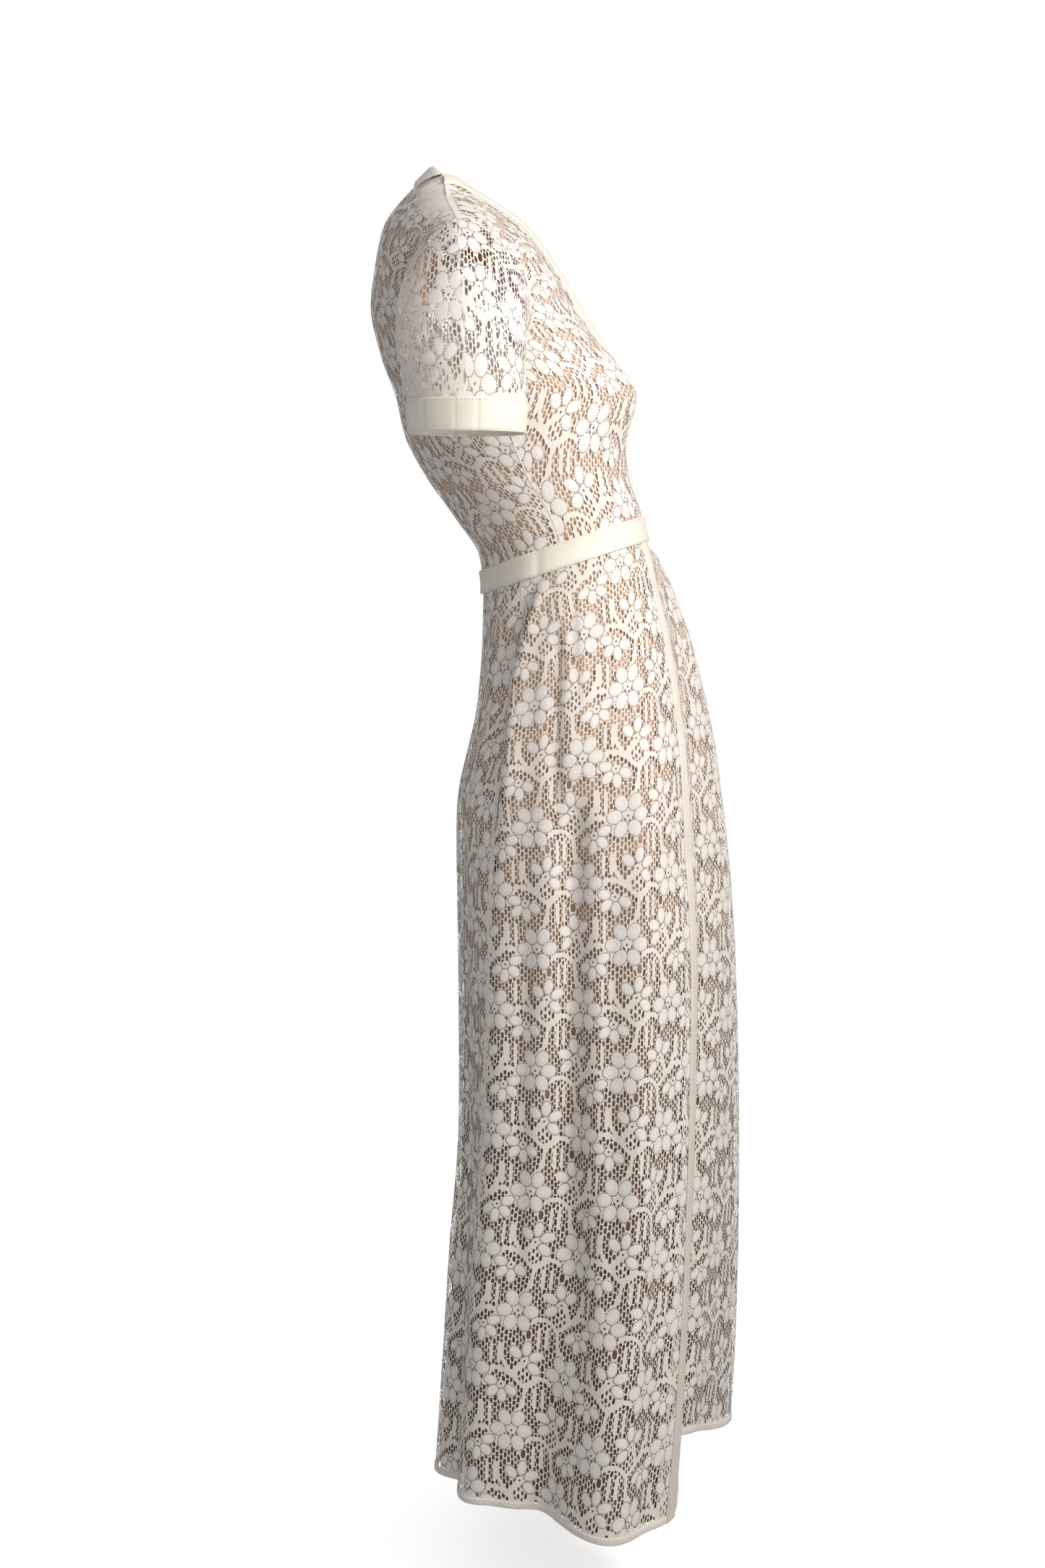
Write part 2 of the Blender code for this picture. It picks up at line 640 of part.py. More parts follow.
def sleeve_grid(armhole):
    """Points of the right sleeve from the armhole's loop: up its front, over the tip and down its back."""
    count = len(armhole)
    turn = np.linspace(-math.pi / 2, 3 * math.pi / 2, count)
    front_share = np.cos(turn)
    outer_share = (1 + np.sin(turn)) / 2
    still = np.zeros(count)
    cuff = np.stack(
        [
            -CUFF_SIDE - CUFF_HALF_SIDE * np.sin(turn),
            CUFF_DEPTH - CUFF_HALF_DEPTH * front_share,
            np.full(count, CUFF_SEAM_HEIGHT),
        ],
        axis=-1,
    )
    pull = SLEEVE_UNDER_PULL + (1 - SLEEVE_UNDER_PULL) * outer_share
    fall = SLEEVE_TIP_FALL * outer_share
    start = armhole + np.stack([-pull, still, -fall], axis=-1) * SLEEVE_CAP_REACH
    end = cuff + np.stack([still, still, pull * SLEEVE_DROP_REACH], axis=-1)
    rows = []
    for part in np.linspace(0, 1, SLEEVE_ROWS + 1):
        rest = 1 - part
        line = armhole * rest**3 + start * 3 * part * rest**2 + end * 3 * part**2 * rest + cuff * part**3
        line[:, 1] += SLEEVE_BACK_FULLNESS * np.sin(math.pi * part) * np.clip(-front_share, 0, 1)
        rows.append(line)
    return np.array(rows)


def loop_normals(points):
    """Outward normals of a tube whose first and last columns are the same."""
    down = np.gradient(points, axis=0)
    single = points[:, :-1]
    along = np.roll(single, -1, axis=1) - np.roll(single, 1, axis=1)
    along = np.concatenate([along, along[:, :1]], axis=1)
    normals = unit(np.cross(down, along))
    outward = points - single.mean(axis=1, keepdims=True)
    turned = (normals * outward).sum() < 0
    return -normals if turned else normals


def bodice_pieces(lace, lining, band):
    """Fronts, back, their lining and the neck binding. Returns the armhole loop of the right side."""
    on_front = front_places()
    on_back = back_places(on_front[1][-1])
    front, front_normals = bodice_grid(*on_front, -1)
    front_normals[:, 0, 0] *= np.clip(-front[:, 0, 0] / CENTRE_FRONT_BLEND, 0, 1)
    front_normals[:, 0] = unit(front_normals[:, 0])
    half, half_normals = bodice_grid(*on_back, 1)
    plain_front, plain_half = front_normals.copy(), half_normals.copy()
    seam_normals = mitre(front_normals[-1], half_normals[-1, NECK_COLUMNS:])
    front_normals[-1], half_normals[-1, NECK_COLUMNS:] = seam_normals
    underarm = ROWS_BELOW_UNDERARM
    armhole = np.concatenate([front[underarm:, -1], half[underarm:, -1][::-1][1:]])
    sleeve = sleeve_grid(armhole)
    sleeve_normals = loop_normals(sleeve)
    tip = ROWS_ABOVE_UNDERARM
    torso_side = np.concatenate([front_normals[underarm:, -1], half_normals[underarm:, -1][::-1][1:]])
    torso_side, sleeve_normals[0] = mitre(torso_side, sleeve_normals[0])
    front_normals[underarm:, -1] = torso_side[: tip + 1]
    half_normals[underarm:, -1] = torso_side[tip:][::-1]

    half_gap = SEAM_GAP / 2
    front = trim(front, half_gap, half_gap, half_gap, half_gap)
    back = np.concatenate([half[:, ::-1], mirrored(half)[:, 1:]], axis=1)
    back_normals = np.concatenate([half_normals[:, ::-1], mirrored(half_normals)[:, 1:]], axis=1)
    back = trim(back, half_gap, half_gap, half_gap, half_gap)

    down_front = front[::-1]
    down_back = back[::-1]
    top = len(front) - 2
    front_holes = lace_holes(down_front, 0)
    front_holes = {(top - row, cell): hole for (row, cell), hole in front_holes.items() if cell > 0}
    back_holes = lace_holes(down_back, back.shape[1] // 2)
    back_holes = {(top - row, cell): hole for (row, cell), hole in back_holes.items() if row > 0}

    for side_name, turned in (("right", lambda points: points), ("left", mirrored)):
        points, normals = turned(front), turned(front_normals)
        wall(f"bodice_front_{side_name}", points, normals, LACE_THICKNESS, lace, front_holes)
        inside = trim(points, LINING_TRIM, LINING_TRIM, half_gap, LINING_TRIM)
        plain = inset_normals(points, turned(plain_front), LINING_TRIM)
        inside = inside - plain * BODICE_LINING_DEPTH
        wall(f"lining_front_{side_name}", inside, plain, LINING_THICKNESS, lining)
        strip, strip_normals = points[1:, :2], normals[1:, :2]
        strip = trim(strip, 3 * SEAM_GAP)
        strip = strip + strip_normals * (NECK_BAND_CLEARANCE + BAND_THICKNESS)
        wall(f"neck_binding_{side_name}", strip, strip_normals, BAND_THICKNESS, band)

    wall("bodice_back", back, back_normals, LACE_THICKNESS, lace, back_holes)
    inside = trim(back[:-1], LINING_TRIM, 0, LINING_SIDE_TRIM, LINING_SIDE_TRIM)
    plain = np.concatenate([plain_half[:, ::-1], mirrored(plain_half)[:, 1:]], axis=1)
    plain = inset_normals(back, plain, LINING_TRIM)[:-1]
    wall("lining_back", inside - plain * BODICE_LINING_DEPTH, plain, LINING_THICKNESS, lining)
    back_neck_binding(back, back_normals, band)
    return sleeve, sleeve_normals


def back_neck_binding(back, normals, band):
    """The binding along the back neck, which meets the front ones at the shoulder seams."""
    middle = back.shape[1] // 2
    first, last = middle - NECK_COLUMNS, middle + NECK_COLUMNS
    strip, strip_normals = back[-2:, first : last + 1], normals[-2:, first : last + 1]
    strip = strip + strip_normals * (NECK_BAND_CLEARANCE + BAND_THICKNESS)
    wall("neck_binding_back", strip, strip_normals, BAND_THICKNESS, band)


def sleeve_pieces(sleeve, normals, lace, band):
    """Both sleeves, each as a front and a back half, and their cuffs."""
    half_gap = SEAM_GAP / 2
    tip = ROWS_ABOVE_UNDERARM
    count = sleeve.shape[1]
    halves = (("front", slice(0, tip + 1)), ("back", slice(tip, count)))
    drop = np.array([0.0, 0.0, -CUFF_HEIGHT])
    centre = np.array([-CUFF_SIDE, CUFF_DEPTH, CUFF_SEAM_HEIGHT])
    for side_name, turned in (("right", lambda points: points), ("left", mirrored)):
        for half_name, columns in halves:
            points = trim(turned(sleeve[:, columns]), half_gap, half_gap, half_gap, half_gap)
            facing = turned(normals[:, columns])
            holes = lace_holes(points, tip // 2)
            wall(f"sleeve_{half_name}_{side_name}", points, facing, LACE_THICKNESS, lace, holes)
        top = sleeve[-1, :-1] - np.array([0, 0, half_gap])
        bottom = centre + (top - centre) * np.array([CUFF_TAPER, CUFF_TAPER, 1.0]) + drop
        level = normals[-1, :-1] * np.array([1.0, 1.0, 0.0])
        cuff = np.stack([top, bottom])
        facing = turned(np.stack([level, level]))
        wall(f"cuff_{side_name}", turned(cuff), facing, BAND_THICKNESS, band, closed=True)


def band_top(azimuths):
    """Points of the bodice half a waistband above the waist seam, at the wanted azimuths."""
    parts = np.linspace(0, 1, BAND_TOP_SAMPLES)
    found = []
    for facing in (-1, 1):
        low = bodice_form(np.zeros_like(parts), parts, facing)
        high = bodice_form(np.full_like(parts, BAND_ROW), parts, facing)
        share = WAISTBAND_HEIGHT / 2 / (high - low)[:, 2:]
        right = low + (high - low) * share
        found += [right, mirrored(right)]
    points = np.concatenate(found)
    places = np.degrees(np.arctan2(-points[:, 0], -points[:, 1]))
    order = np.argsort(places)
    places, points = places[order], points[order]
    return np.stack([np.interp(azimuths, places, points[:, axis], period=360) for axis in range(3)], axis=-1)


def waistband_piece(shares, band):
    """The ribbon round the waist, over the seam."""
    seam = skirt_row(0.0, shares)[0]
    low = skirt_row(WAISTBAND_HEIGHT / 2 / (WAIST_SEAM_HEIGHT - HEM_HEIGHT), shares)[0]
    top = band_top(np.degrees(np.arctan2(-seam[:, 0], -seam[:, 1])))
    points = np.stack([top, seam, low])
    closed = np.concatenate([points, points[:, :1]], axis=1)
    normals = loop_normals(closed)[:, :-1]
    outer = points + normals * (WAISTBAND_CLEARANCE + BAND_THICKNESS)
    wall("waistband", outer, normals, BAND_THICKNESS, band, closed=True)


def skirt_pieces(lace, lining, band):
    """Four skirt panels, the ribbon on the front edge, the waistband and the lining."""
    start = (WAISTBAND_HEIGHT / 2 + SEAM_GAP) / (WAIST_SEAM_HEIGHT - HEM_HEIGHT)
    levels = np.concatenate([[0.0], np.linspace(start, 1, SKIRT_ROWS)])
    lining_end = (WAIST_SEAM_HEIGHT - LINING_HEM_HEIGHT) / (WAIST_SEAM_HEIGHT - HEM_HEIGHT)
    below_hip = levels[LINING_FINE_ROWS::2]
    below_hip = below_hip[below_hip < lining_end]
    lining_levels = np.concatenate([levels[:LINING_FINE_ROWS], below_hip, [lining_end]])
    quarter = np.linspace(0, 0.25, SKIRT_PANEL_COLUMNS + 1)
    half_gap = SEAM_GAP / 2
    for number, name in enumerate(("front_right", "back_right", "back_left", "front_left")):
        shares = quarter + number * 0.25
        is_lapped = name == "front_left"
        is_ribboned = name == "front_right"
        if is_lapped:
            shares = np.append(shares, 1 + quarter[1])
        points, normals = skirt_grid(levels, shares)
        depth = np.zeros(len(shares))
        if is_lapped:
            depth[-2:] = LACE_THICKNESS + SEAM_GAP
        outer = points - normals * depth[None, :, None]
        outer = trim(outer, half_gap, 0, half_gap, 0 if is_lapped else half_gap)
        holes = lace_holes(outer, SKIRT_PANEL_COLUMNS // 2)
        if is_lapped:
            holes = {place: hole for place, hole in holes.items() if place[1] < SKIRT_PANEL_COLUMNS - 1}
        if is_ribboned:
            holes = {place: hole for place, hole in holes.items() if place[1] > 0}
        wall(f"skirt_{name}", outer, normals, LACE_THICKNESS, lace, holes)
        if is_ribboned:
            strip, strip_normals = edge_strip(outer[1:], normals[1:], RIBBON_WIDTH)
            strip = strip + strip_normals * (BAND_CLEARANCE + BAND_THICKNESS)
            strip = trim(strip, 3 * SEAM_GAP, 0, 0, 0)
            wall("front_ribbon", strip, strip_normals, BAND_THICKNESS, band)

        shares = quarter + number * 0.25
        points, normals = skirt_grid(lining_levels, shares)
        fade = np.clip(lining_levels / LINING_FADE_LEVEL, 0, 1)
        depth = LACE_THICKNESS + SEAM_GAP + (SKIRT_LINING_DEPTH - LACE_THICKNESS - SEAM_GAP) * fade
        depth = np.repeat(depth[:, None], len(shares), axis=1)
        lap = LACE_THICKNESS + 2 * SEAM_GAP
        if is_ribboned:
            depth[:, :2] += lap
        if is_lapped:
            depth[:, -1] += lap
        points = points - normals * depth[..., None]
        points = trim(points, LINING_TRIM, 0, half_gap, half_gap)
        wall(f"lining_skirt_{name}", points, normals, LINING_THICKNESS, lining)
    ring = np.concatenate([quarter[:-1] + number * 0.25 for number in range(4)])
    waistband_piece(ring, band)


def main():
    for old in list(bpy.data.objects):
        bpy.data.objects.remove(old)
    collection = bpy.data.collections.new(COLLECTION)
    bpy.context.scene.collection.children.link(collection)
    lace, lining, band = (material(name) for name in ("lace", "lining", "band"))
    sleeve, sleeve_normals = bodice_pieces(lace, lining, band)
    sleeve_pieces(sleeve, sleeve_normals, lace, band)
    skirt_pieces(lace, lining, band)


main()
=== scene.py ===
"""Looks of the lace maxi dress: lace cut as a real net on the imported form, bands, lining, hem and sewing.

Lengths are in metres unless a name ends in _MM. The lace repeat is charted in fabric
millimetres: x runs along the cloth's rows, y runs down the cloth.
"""
import math

import bpy
import numpy as np
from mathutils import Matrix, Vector


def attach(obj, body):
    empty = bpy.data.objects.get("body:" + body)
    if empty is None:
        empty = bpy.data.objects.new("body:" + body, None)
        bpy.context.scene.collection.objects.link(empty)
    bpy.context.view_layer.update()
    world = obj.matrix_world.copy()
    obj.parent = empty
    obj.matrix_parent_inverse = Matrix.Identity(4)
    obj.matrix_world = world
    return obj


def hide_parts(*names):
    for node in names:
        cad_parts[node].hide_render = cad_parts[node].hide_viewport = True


MM = 0.001

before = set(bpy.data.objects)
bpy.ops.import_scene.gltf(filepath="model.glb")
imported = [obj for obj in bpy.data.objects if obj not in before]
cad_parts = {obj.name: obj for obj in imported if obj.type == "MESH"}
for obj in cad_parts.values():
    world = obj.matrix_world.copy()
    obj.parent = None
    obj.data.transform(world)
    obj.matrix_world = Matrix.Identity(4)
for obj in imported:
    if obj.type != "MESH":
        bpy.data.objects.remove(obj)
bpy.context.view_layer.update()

# Form, the same named sizes and tables as the part's source
SEAM_GAP = 0.3 * MM
LACE_THICKNESS = 1.2 * MM
BODICE_LINING_DEPTH = 2.6 * MM
SKIRT_LINING_DEPTH = 5.5 * MM
CUFF_HEIGHT = 31 * MM
WAISTBAND_HEIGHT = 25 * MM

WAIST_SEAM_HEIGHT = -0.3715
WAIST_DROP_PER_DEPTH = 0.333
SECTION_POWER = 2.3
WAIST_HALF_AXES = (0.0820, 0.0840, 0.1200)
TORSO_COLUMNS = ("height", "middle", "front", "back", "side")
TORSO = (
    (-0.410, 0.002, -0.0800, 0.0840, 0.1200),
    (-0.372, 0.003, -0.0800, 0.0890, 0.1195),
    (-0.335, 0.015, -0.0780, 0.1120, 0.1210),
    (-0.292, 0.040, -0.0660, 0.1420, 0.1280),
    (-0.250, 0.056, -0.0600, 0.1640, 0.1380),
    (-0.208, 0.064, -0.0550, 0.1740, 0.1470),
    (-0.170, 0.076, -0.0430, 0.1880, 0.1540),
    (-0.120, 0.094, -0.0150, 0.1985, 0.1680),
    (-0.082, 0.104, 0.0080, 0.1940, 0.1780),
    (-0.040, 0.112, 0.0420, 0.1840, 0.1850),
    (0.000, 0.118, 0.0880, 0.1600, 0.1900),
    (0.030, 0.122, 0.1150, 0.1330, 0.1900),
)
BUST_SIDE = 0.072
BUST_HEIGHT = -0.208
BUST_SPREAD = 0.046
BUST_DEPTH = 0.026
SHOULDER_COLUMNS = ("side", "depth", "height")
SHOULDER_LINE = (
    (0.000, 0.136, 0.020),
    (0.035, 0.132, 0.018),
    (0.065, 0.122, 0.005),
    (0.084, 0.1200, -0.009),
    (0.115, 0.117, -0.024),
    (0.165, 0.106, -0.050),
)
NECK_POINT_SIDE = 0.065
SHOULDER_TIP_SIDE = 0.165
SHOULDER_ROUNDING = 0.060
BACK_SLOPE_AT_TIP = 0.085
CHEST_LEAN = 0.008
V_BOTTOM_HEIGHT = -0.222
UNDERARM_HEIGHT = -0.178
ARMHOLE_INSET = 0.008
WAIST_LEAD = 0.3
CUFF_SIDE = 0.232
CUFF_DEPTH = 0.0955
CUFF_SEAM_HEIGHT = -0.229
CUFF_HALF_SIDE = 0.052
CUFF_HALF_DEPTH = 0.0570
SLEEVE_BACK_FULLNESS = 0.014
SLEEVE_CAP_REACH = 0.050
SLEEVE_DROP_REACH = 0.070
CUFF_TAPER = 0.97
SKIRT_COLUMNS = ("height", "front", "back", "side", "edge_azimuth")
SKIRT = (
    (-0.3715, 0.0820, 0.0840, 0.1200, 31.0),
    (-0.430, 0.0985, 0.0850, 0.1390, 32.0),
    (-0.500, 0.1165, 0.0900, 0.1560, 33.0),
    (-0.620, 0.1370, 0.1120, 0.1700, 35.5),
    (-0.800, 0.1500, 0.1080, 0.1740, 38.0),
    (-0.950, 0.1520, 0.1060, 0.1740, 41.0),
    (-1.100, 0.1500, 0.1150, 0.1760, 45.0),
    (-1.250, 0.1440, 0.1220, 0.1780, 50.0),
    (-1.330, 0.1380, 0.1260, 0.1780, 53.0),
)
HEM_HEIGHT = -1.330
LINING_HEM_HEIGHT = -1.300
LINING_OVER_SOLID = 0.024
FOLDS = (
    ("left front ridge", -22.0, -35.0, 21.0, 0.070, -0.39, 0.45),
    ("front valley", 6.0, 24.0, 12.0, -0.042, -0.45, 0.85),
    ("ribbon ridge", 38.0, 56.0, 9.0, 0.015, -0.70, 0.6),
    ("right front ridge", 52.0, 79.0, 12.0, 0.040, -0.50, 1.2),
    ("pleat under the band", 100.0, 116.0, 7.0, -0.010, -0.38, 0.35),
    ("right side trough", 88.0, 99.0, 10.0, -0.030, -0.62, 1.1),
    ("right side ridge", 108.0, 124.0, 11.0, 0.014, -0.50, 0.9),
    ("right back trough", 138.0, 148.0, 10.0, -0.012, -0.55, 1.0),
    ("back ridge", 165.0, 172.0, 12.0, 0.010, -0.60, 1.0),
    ("left back trough", -158.0, -154.0, 12.0, -0.014, -0.50, 0.9),
    ("left back ridge", -132.0, -128.0, 13.0, 0.022, -0.45, 0.9),
    ("left side trough", -104.0, -103.0, 11.0, -0.016, -0.45, 0.9),
    ("left side ridge", -80.0, -78.0, 13.0, 0.020, -0.50, 1.0),
    ("left front trough", -57.0, -60.0, 10.0, -0.014, -0.60, 1.0),
)
# places as level and azimuth, spread in degrees, depth, and how much of the spread lies ahead of the line
CREASES = (
    (((0.010, 103.0), (0.055, 111.0), (0.12, 117.0), (0.34, 118.0)), 9.0, 0.0115, 0.26),
    (((0.010, 97.5), (0.055, 105.5), (0.12, 111.5), (0.30, 113.0)), 4.0, -0.0030, 1.0),
    (((0.045, 87.5), (0.110, 87.0), (0.17, 85.0)), 1.5, 0.0024, 1.0),
    (((0.045, 84.5), (0.110, 84.0), (0.22, 82.5)), 2.6, -0.0014, 1.0),
    (((0.060, 93.5), (0.200, 94.0), (0.36, 93.0)), 3.4, 0.0052, 0.7),
    (((0.210, 87.0), (0.600, 87.5), (0.99, 86.0)), 5.0, 0.0160, 0.8),
    (((0.300, 75.0), (0.620, 76.0), (0.97, 77.5)), 2.8, 0.0036, 1.0),
    (((0.180, 65.0), (0.540, 67.5), (0.96, 69.0)), 3.6, -0.0050, 1.0),
    (((0.350, 104.0), (0.700, 107.0), (0.98, 108.0)), 3.4, 0.0040, 1.0),
    (((0.420, 128.0), (0.750, 131.0), (0.99, 133.0)), 3.6, 0.0030, 0.8),
    (((0.010, 149.0), (0.100, 155.0), (0.30, 157.0)), 8.0, 0.0060, 0.35),
    (((0.120, 176.0), (0.600, 175.0), (0.95, 173.0)), 4.0, 0.0036, 0.9),
    (((0.010, -101.0), (0.060, -109.0), (0.13, -114.0), (0.36, -116.0)), 9.0, 0.0070, 0.32),
    (((0.060, -91.0), (0.250, -92.0), (0.42, -91.0)), 3.2, 0.0034, 0.8),
    (((0.240, -84.0), (0.650, -84.5), (0.98, -82.0)), 3.6, 0.0040, 0.8),
    (((0.010, -150.0), (0.120, -154.0), (0.33, -156.0)), 7.0, 0.0055, 0.4),
    (((0.300, -128.0), (0.700, -126.0), (0.98, -125.0)), 3.4, 0.0028, 1.0),
    (((0.060, -24.0), (0.300, -27.0), (0.62, -28.0)), 3.0, 0.0026, 1.0),
    (((0.350, -52.0), (0.700, -53.0), (0.98, -54.0)), 3.0, 0.0030, 0.9),
)
# soft creases of a sleeve: two places as depth and height, then spread and depth
SLEEVE_CREASES = (
    ((0.162, -0.197), (0.124, -0.168), 0.0042, 0.0024),
    ((0.155, -0.186), (0.130, -0.160), 0.0036, -0.0010),
    ((0.153, -0.211), (0.129, -0.206), 0.0034, 0.0016),
    ((0.060, -0.192), (0.082, -0.170), 0.0040, 0.0014),
    ((0.045, -0.150), (0.070, -0.128), 0.0048, 0.0012),
    ((0.120, -0.215), (0.100, -0.205), 0.0040, 0.0010),
)
HEM_DROPS = ((70.0, 0.015), (115.0, -0.008), (180.0, 0.000), (-90.0, -0.002), (-35.0, -0.012), (15.0, -0.040))


def column(table, names, wanted):
    place = names.index(wanted)
    return np.array([row[place] for row in table], dtype=float)


def smooth_curve(places, values, wanted):
    """A smooth curve through the values, with slopes that never overshoot between two of them."""
    order = np.argsort(places)
    places = np.asarray(places, float)[order]
    values = np.asarray(values, float)[order]
    steps = np.diff(places)
    slopes = np.diff(values) / steps
    tangents = np.zeros(len(places))
    tangents[0], tangents[-1] = slopes[0], slopes[-1]
    for index in range(1, len(places) - 1):
        before, after = slopes[index - 1], slopes[index]
        if before * after > 0:
            tangents[index] = 2 * before * after / (before + after)
    wanted = np.clip(wanted, places[0], places[-1])
    cell = np.clip(np.searchsorted(places, wanted) - 1, 0, len(steps) - 1)
    part = (wanted - places[cell]) / steps[cell]
    rest = 1 - part
    return (
        values[cell] * (1 + 2 * part) * rest**2
        + values[cell + 1] * part**2 * (3 - 2 * part)
        + tangents[cell] * steps[cell] * part * rest**2
        - tangents[cell + 1] * steps[cell] * part**2 * rest
    )


def along_path(wanted, places, points, **options):
    """Points at the wanted places of a path whose points lie at places."""
    return np.stack([np.interp(wanted, places, points[:, axis], **options) for axis in range(3)], axis=-1)


def joined(ring):
    """A ring of points with its first point once more at the end."""
    return np.concatenate([ring, ring[:1]])


def from_ends(count, reach):
    """0 at both ends of count rows, rising to 1 over reach rows."""
    return np.clip(np.minimum(np.arange(count), count - 1 - np.arange(count)) / reach, 0, 1)


def unit(vectors):
    return vectors / np.maximum(np.linalg.norm(vectors, axis=-1, keepdims=True), 1e-12)


def torso(name, height):
    return smooth_curve(column(TORSO, TORSO_COLUMNS, "height"), column(TORSO, TORSO_COLUMNS, name), height)


def shoulder(name, side):
    places = column(SHOULDER_LINE, SHOULDER_COLUMNS, "side")
    return smooth_curve(places, column(SHOULDER_LINE, SHOULDER_COLUMNS, name), np.abs(side))


def skirt(name, height):
    return smooth_curve(column(SKIRT, SKIRT_COLUMNS, "height"), column(SKIRT, SKIRT_COLUMNS, name), height)


def waist_height(depth):
    return WAIST_SEAM_HEIGHT - WAIST_DROP_PER_DEPTH * depth


def torso_depth(side, height, facing):
    """Y of the worn cloth at a place of the front (facing -1) or the back (facing 1)."""
    middle = torso("middle", height)
    reach = torso("front" if facing < 0 else "back", height) - middle
    across = np.clip(np.abs(side) / torso("side", height), 0, 1)
    depth = middle + reach * (1 - across**SECTION_POWER) ** (1 / SECTION_POWER)
    if facing < 0:
        spot = ((np.abs(side) - BUST_SIDE) / BUST_SPREAD) ** 2 + ((height - BUST_HEIGHT) / BUST_SPREAD) ** 2
        depth = depth - BUST_DEPTH * np.exp(-spot) * (1 - across**6)
    slope = BACK_SLOPE_AT_TIP * (np.abs(side) / SHOULDER_TIP_SIDE) ** 3 if facing > 0 else 0.0
    below = np.clip((shoulder("height", side) - height) / (SHOULDER_ROUNDING + slope), 0, 1)
    rounding = np.sqrt(1 - (1 - below) ** 2)
    return shoulder("depth", side) * (1 - rounding) + depth * rounding


def side_edge(row):
    """Side and height of the side seam below the underarm and of the armhole above it."""
    waist = waist_height(torso("middle", WAIST_SEAM_HEIGHT))
    tip = shoulder("height", SHOULDER_TIP_SIDE)
    low = np.clip(row / 0.5, 0, 1)
    high = np.clip((row - 0.5) / 0.5, 0, 1)
    height = waist + (UNDERARM_HEIGHT - waist) * low + (tip - UNDERARM_HEIGHT) * high
    seam = torso("side", height)
    underarm = torso("side", UNDERARM_HEIGHT)
    armhole = underarm + (SHOULDER_TIP_SIDE - underarm) * high - ARMHOLE_INSET * np.sin(math.pi * high) ** 0.8
    return np.where(row > 0.5, armhole, seam), height


def front_edge(row):
    """Side and height of the centre front below the V and of the neckline above it."""
    waist = waist_height(torso("front", WAIST_SEAM_HEIGHT))
    neck = shoulder("height", NECK_POINT_SIDE)
    low = np.clip(row / 0.42, 0, 1)
    high = np.clip((row - 0.42) / 0.58, 0, 1)
    height = waist + (V_BOTTOM_HEIGHT - waist) * low + (neck - V_BOTTOM_HEIGHT) * high
    return NECK_POINT_SIDE * high**1.05, height


def back_edge(row):
    waist = waist_height(torso("back", WAIST_SEAM_HEIGHT))
    return np.zeros_like(row), waist + (shoulder("height", 0.0) - waist) * row


def torso_point(row, part, facing):
    """Worn cloth of the wearer's right half: row runs up, part runs from the middle to the side."""
    inner_side, inner_height = (front_edge if facing < 0 else back_edge)(row)
    outer_side, outer_height = side_edge(row)
    flat = np.clip((row - 0.35) / 0.5, 0, 1)
    share = np.sin(part * math.pi / 2) * (1 - flat) + part * flat
    side = inner_side + (outer_side - inner_side) * share
    height = inner_height + (outer_height - inner_height) * part
    height = height + (shoulder("height", side) - height) * row**6
    wider = torso("side", height) - torso("side", outer_height)
    side = side + wider * share * (1 - np.clip((row - 0.5) / 0.1, 0, 1))
    depth = torso_depth(side, height, facing)
    if facing < 0:
        lean = np.clip((row - 0.42) / 0.15, 0, 1) * np.clip((1 - row) / 0.35, 0, 1) ** 2 * (1 - part)
        depth = depth + CHEST_LEAN * lean * (1 - np.exp(-(((side - inner_side) / 0.016) ** 2)))
    return np.stack([-side, depth, height], axis=-1)


def section(azimuth, front, back, side):
    """X and Y of a rounded section at an azimuth from the front toward the wearer's right."""
    sine, cosine = np.sin(azimuth), np.cos(azimuth)
    long_way = np.where(cosine > 0, front, back)
    reach = np.abs(sine / side) ** SECTION_POWER + np.abs(cosine / long_way) ** SECTION_POWER
    radius = reach ** (-1 / SECTION_POWER)
    return -radius * sine, -radius * cosine


def bodice_form(row, part, facing):
    """The torso's cloth, led at its lowest rows onto the waist ring."""
    waist = torso_point(np.zeros_like(row), part, facing)
    ring_x, ring_y = section(np.arctan2(-waist[..., 0], -waist[..., 1]), *WAIST_HALF_AXES)
    seat = np.stack([ring_x, ring_y, waist_height(ring_y)], axis=-1)
    low = np.clip(1 - row / WAIST_LEAD, 0, 1) ** 2
    return torso_point(row, part, facing) + (seat - waist) * low[..., None]


def angle_between(first, second):
    return (first - second + 180) % 360 - 180


def hem_drop(azimuth):
    total = np.zeros_like(azimuth)
    weights = np.zeros_like(azimuth)
    for place, drop in HEM_DROPS:
        weight = np.exp(-((angle_between(azimuth, place) / 28.0) ** 2)) + 1e-4
        total = total + weight * drop
        weights = weights + weight
    return total / weights


def skirt_height(level):
    """Level 0 is the waist seam and 1 the hem."""
    return WAIST_SEAM_HEIGHT + (HEM_HEIGHT - WAIST_SEAM_HEIGHT) * level


def skirt_ring(level):
    """Azimuths and points of one skirt section."""
    height = skirt_height(level)
    azimuth = np.linspace(-180, 180, 1441)
    x, y = section(np.radians(azimuth), *(skirt(name, height) for name in ("front", "back", "side")))
    radius = np.hypot(x, y)
    swell = np.zeros_like(azimuth)
    for _, top_azimuth, hem_azimuth, spread, out_at_hem, top_height, growth in FOLDS:
        share = max(0.0, (top_height - height) / (top_height - HEM_HEIGHT))
        place = top_azimuth + (hem_azimuth - top_azimuth) * level
        swell = swell + out_at_hem * share**growth * np.exp(-((angle_between(azimuth, place) / spread) ** 2))
    swell = swell - crease_depth(level, azimuth)
    scale = (radius + swell) / radius
    x, y = x * scale, y * scale
    z = height - WAIST_DROP_PER_DEPTH * y * (1 - level) ** 3 - hem_drop(azimuth) * level**3
    return azimuth, np.stack([x, y, z], axis=-1)


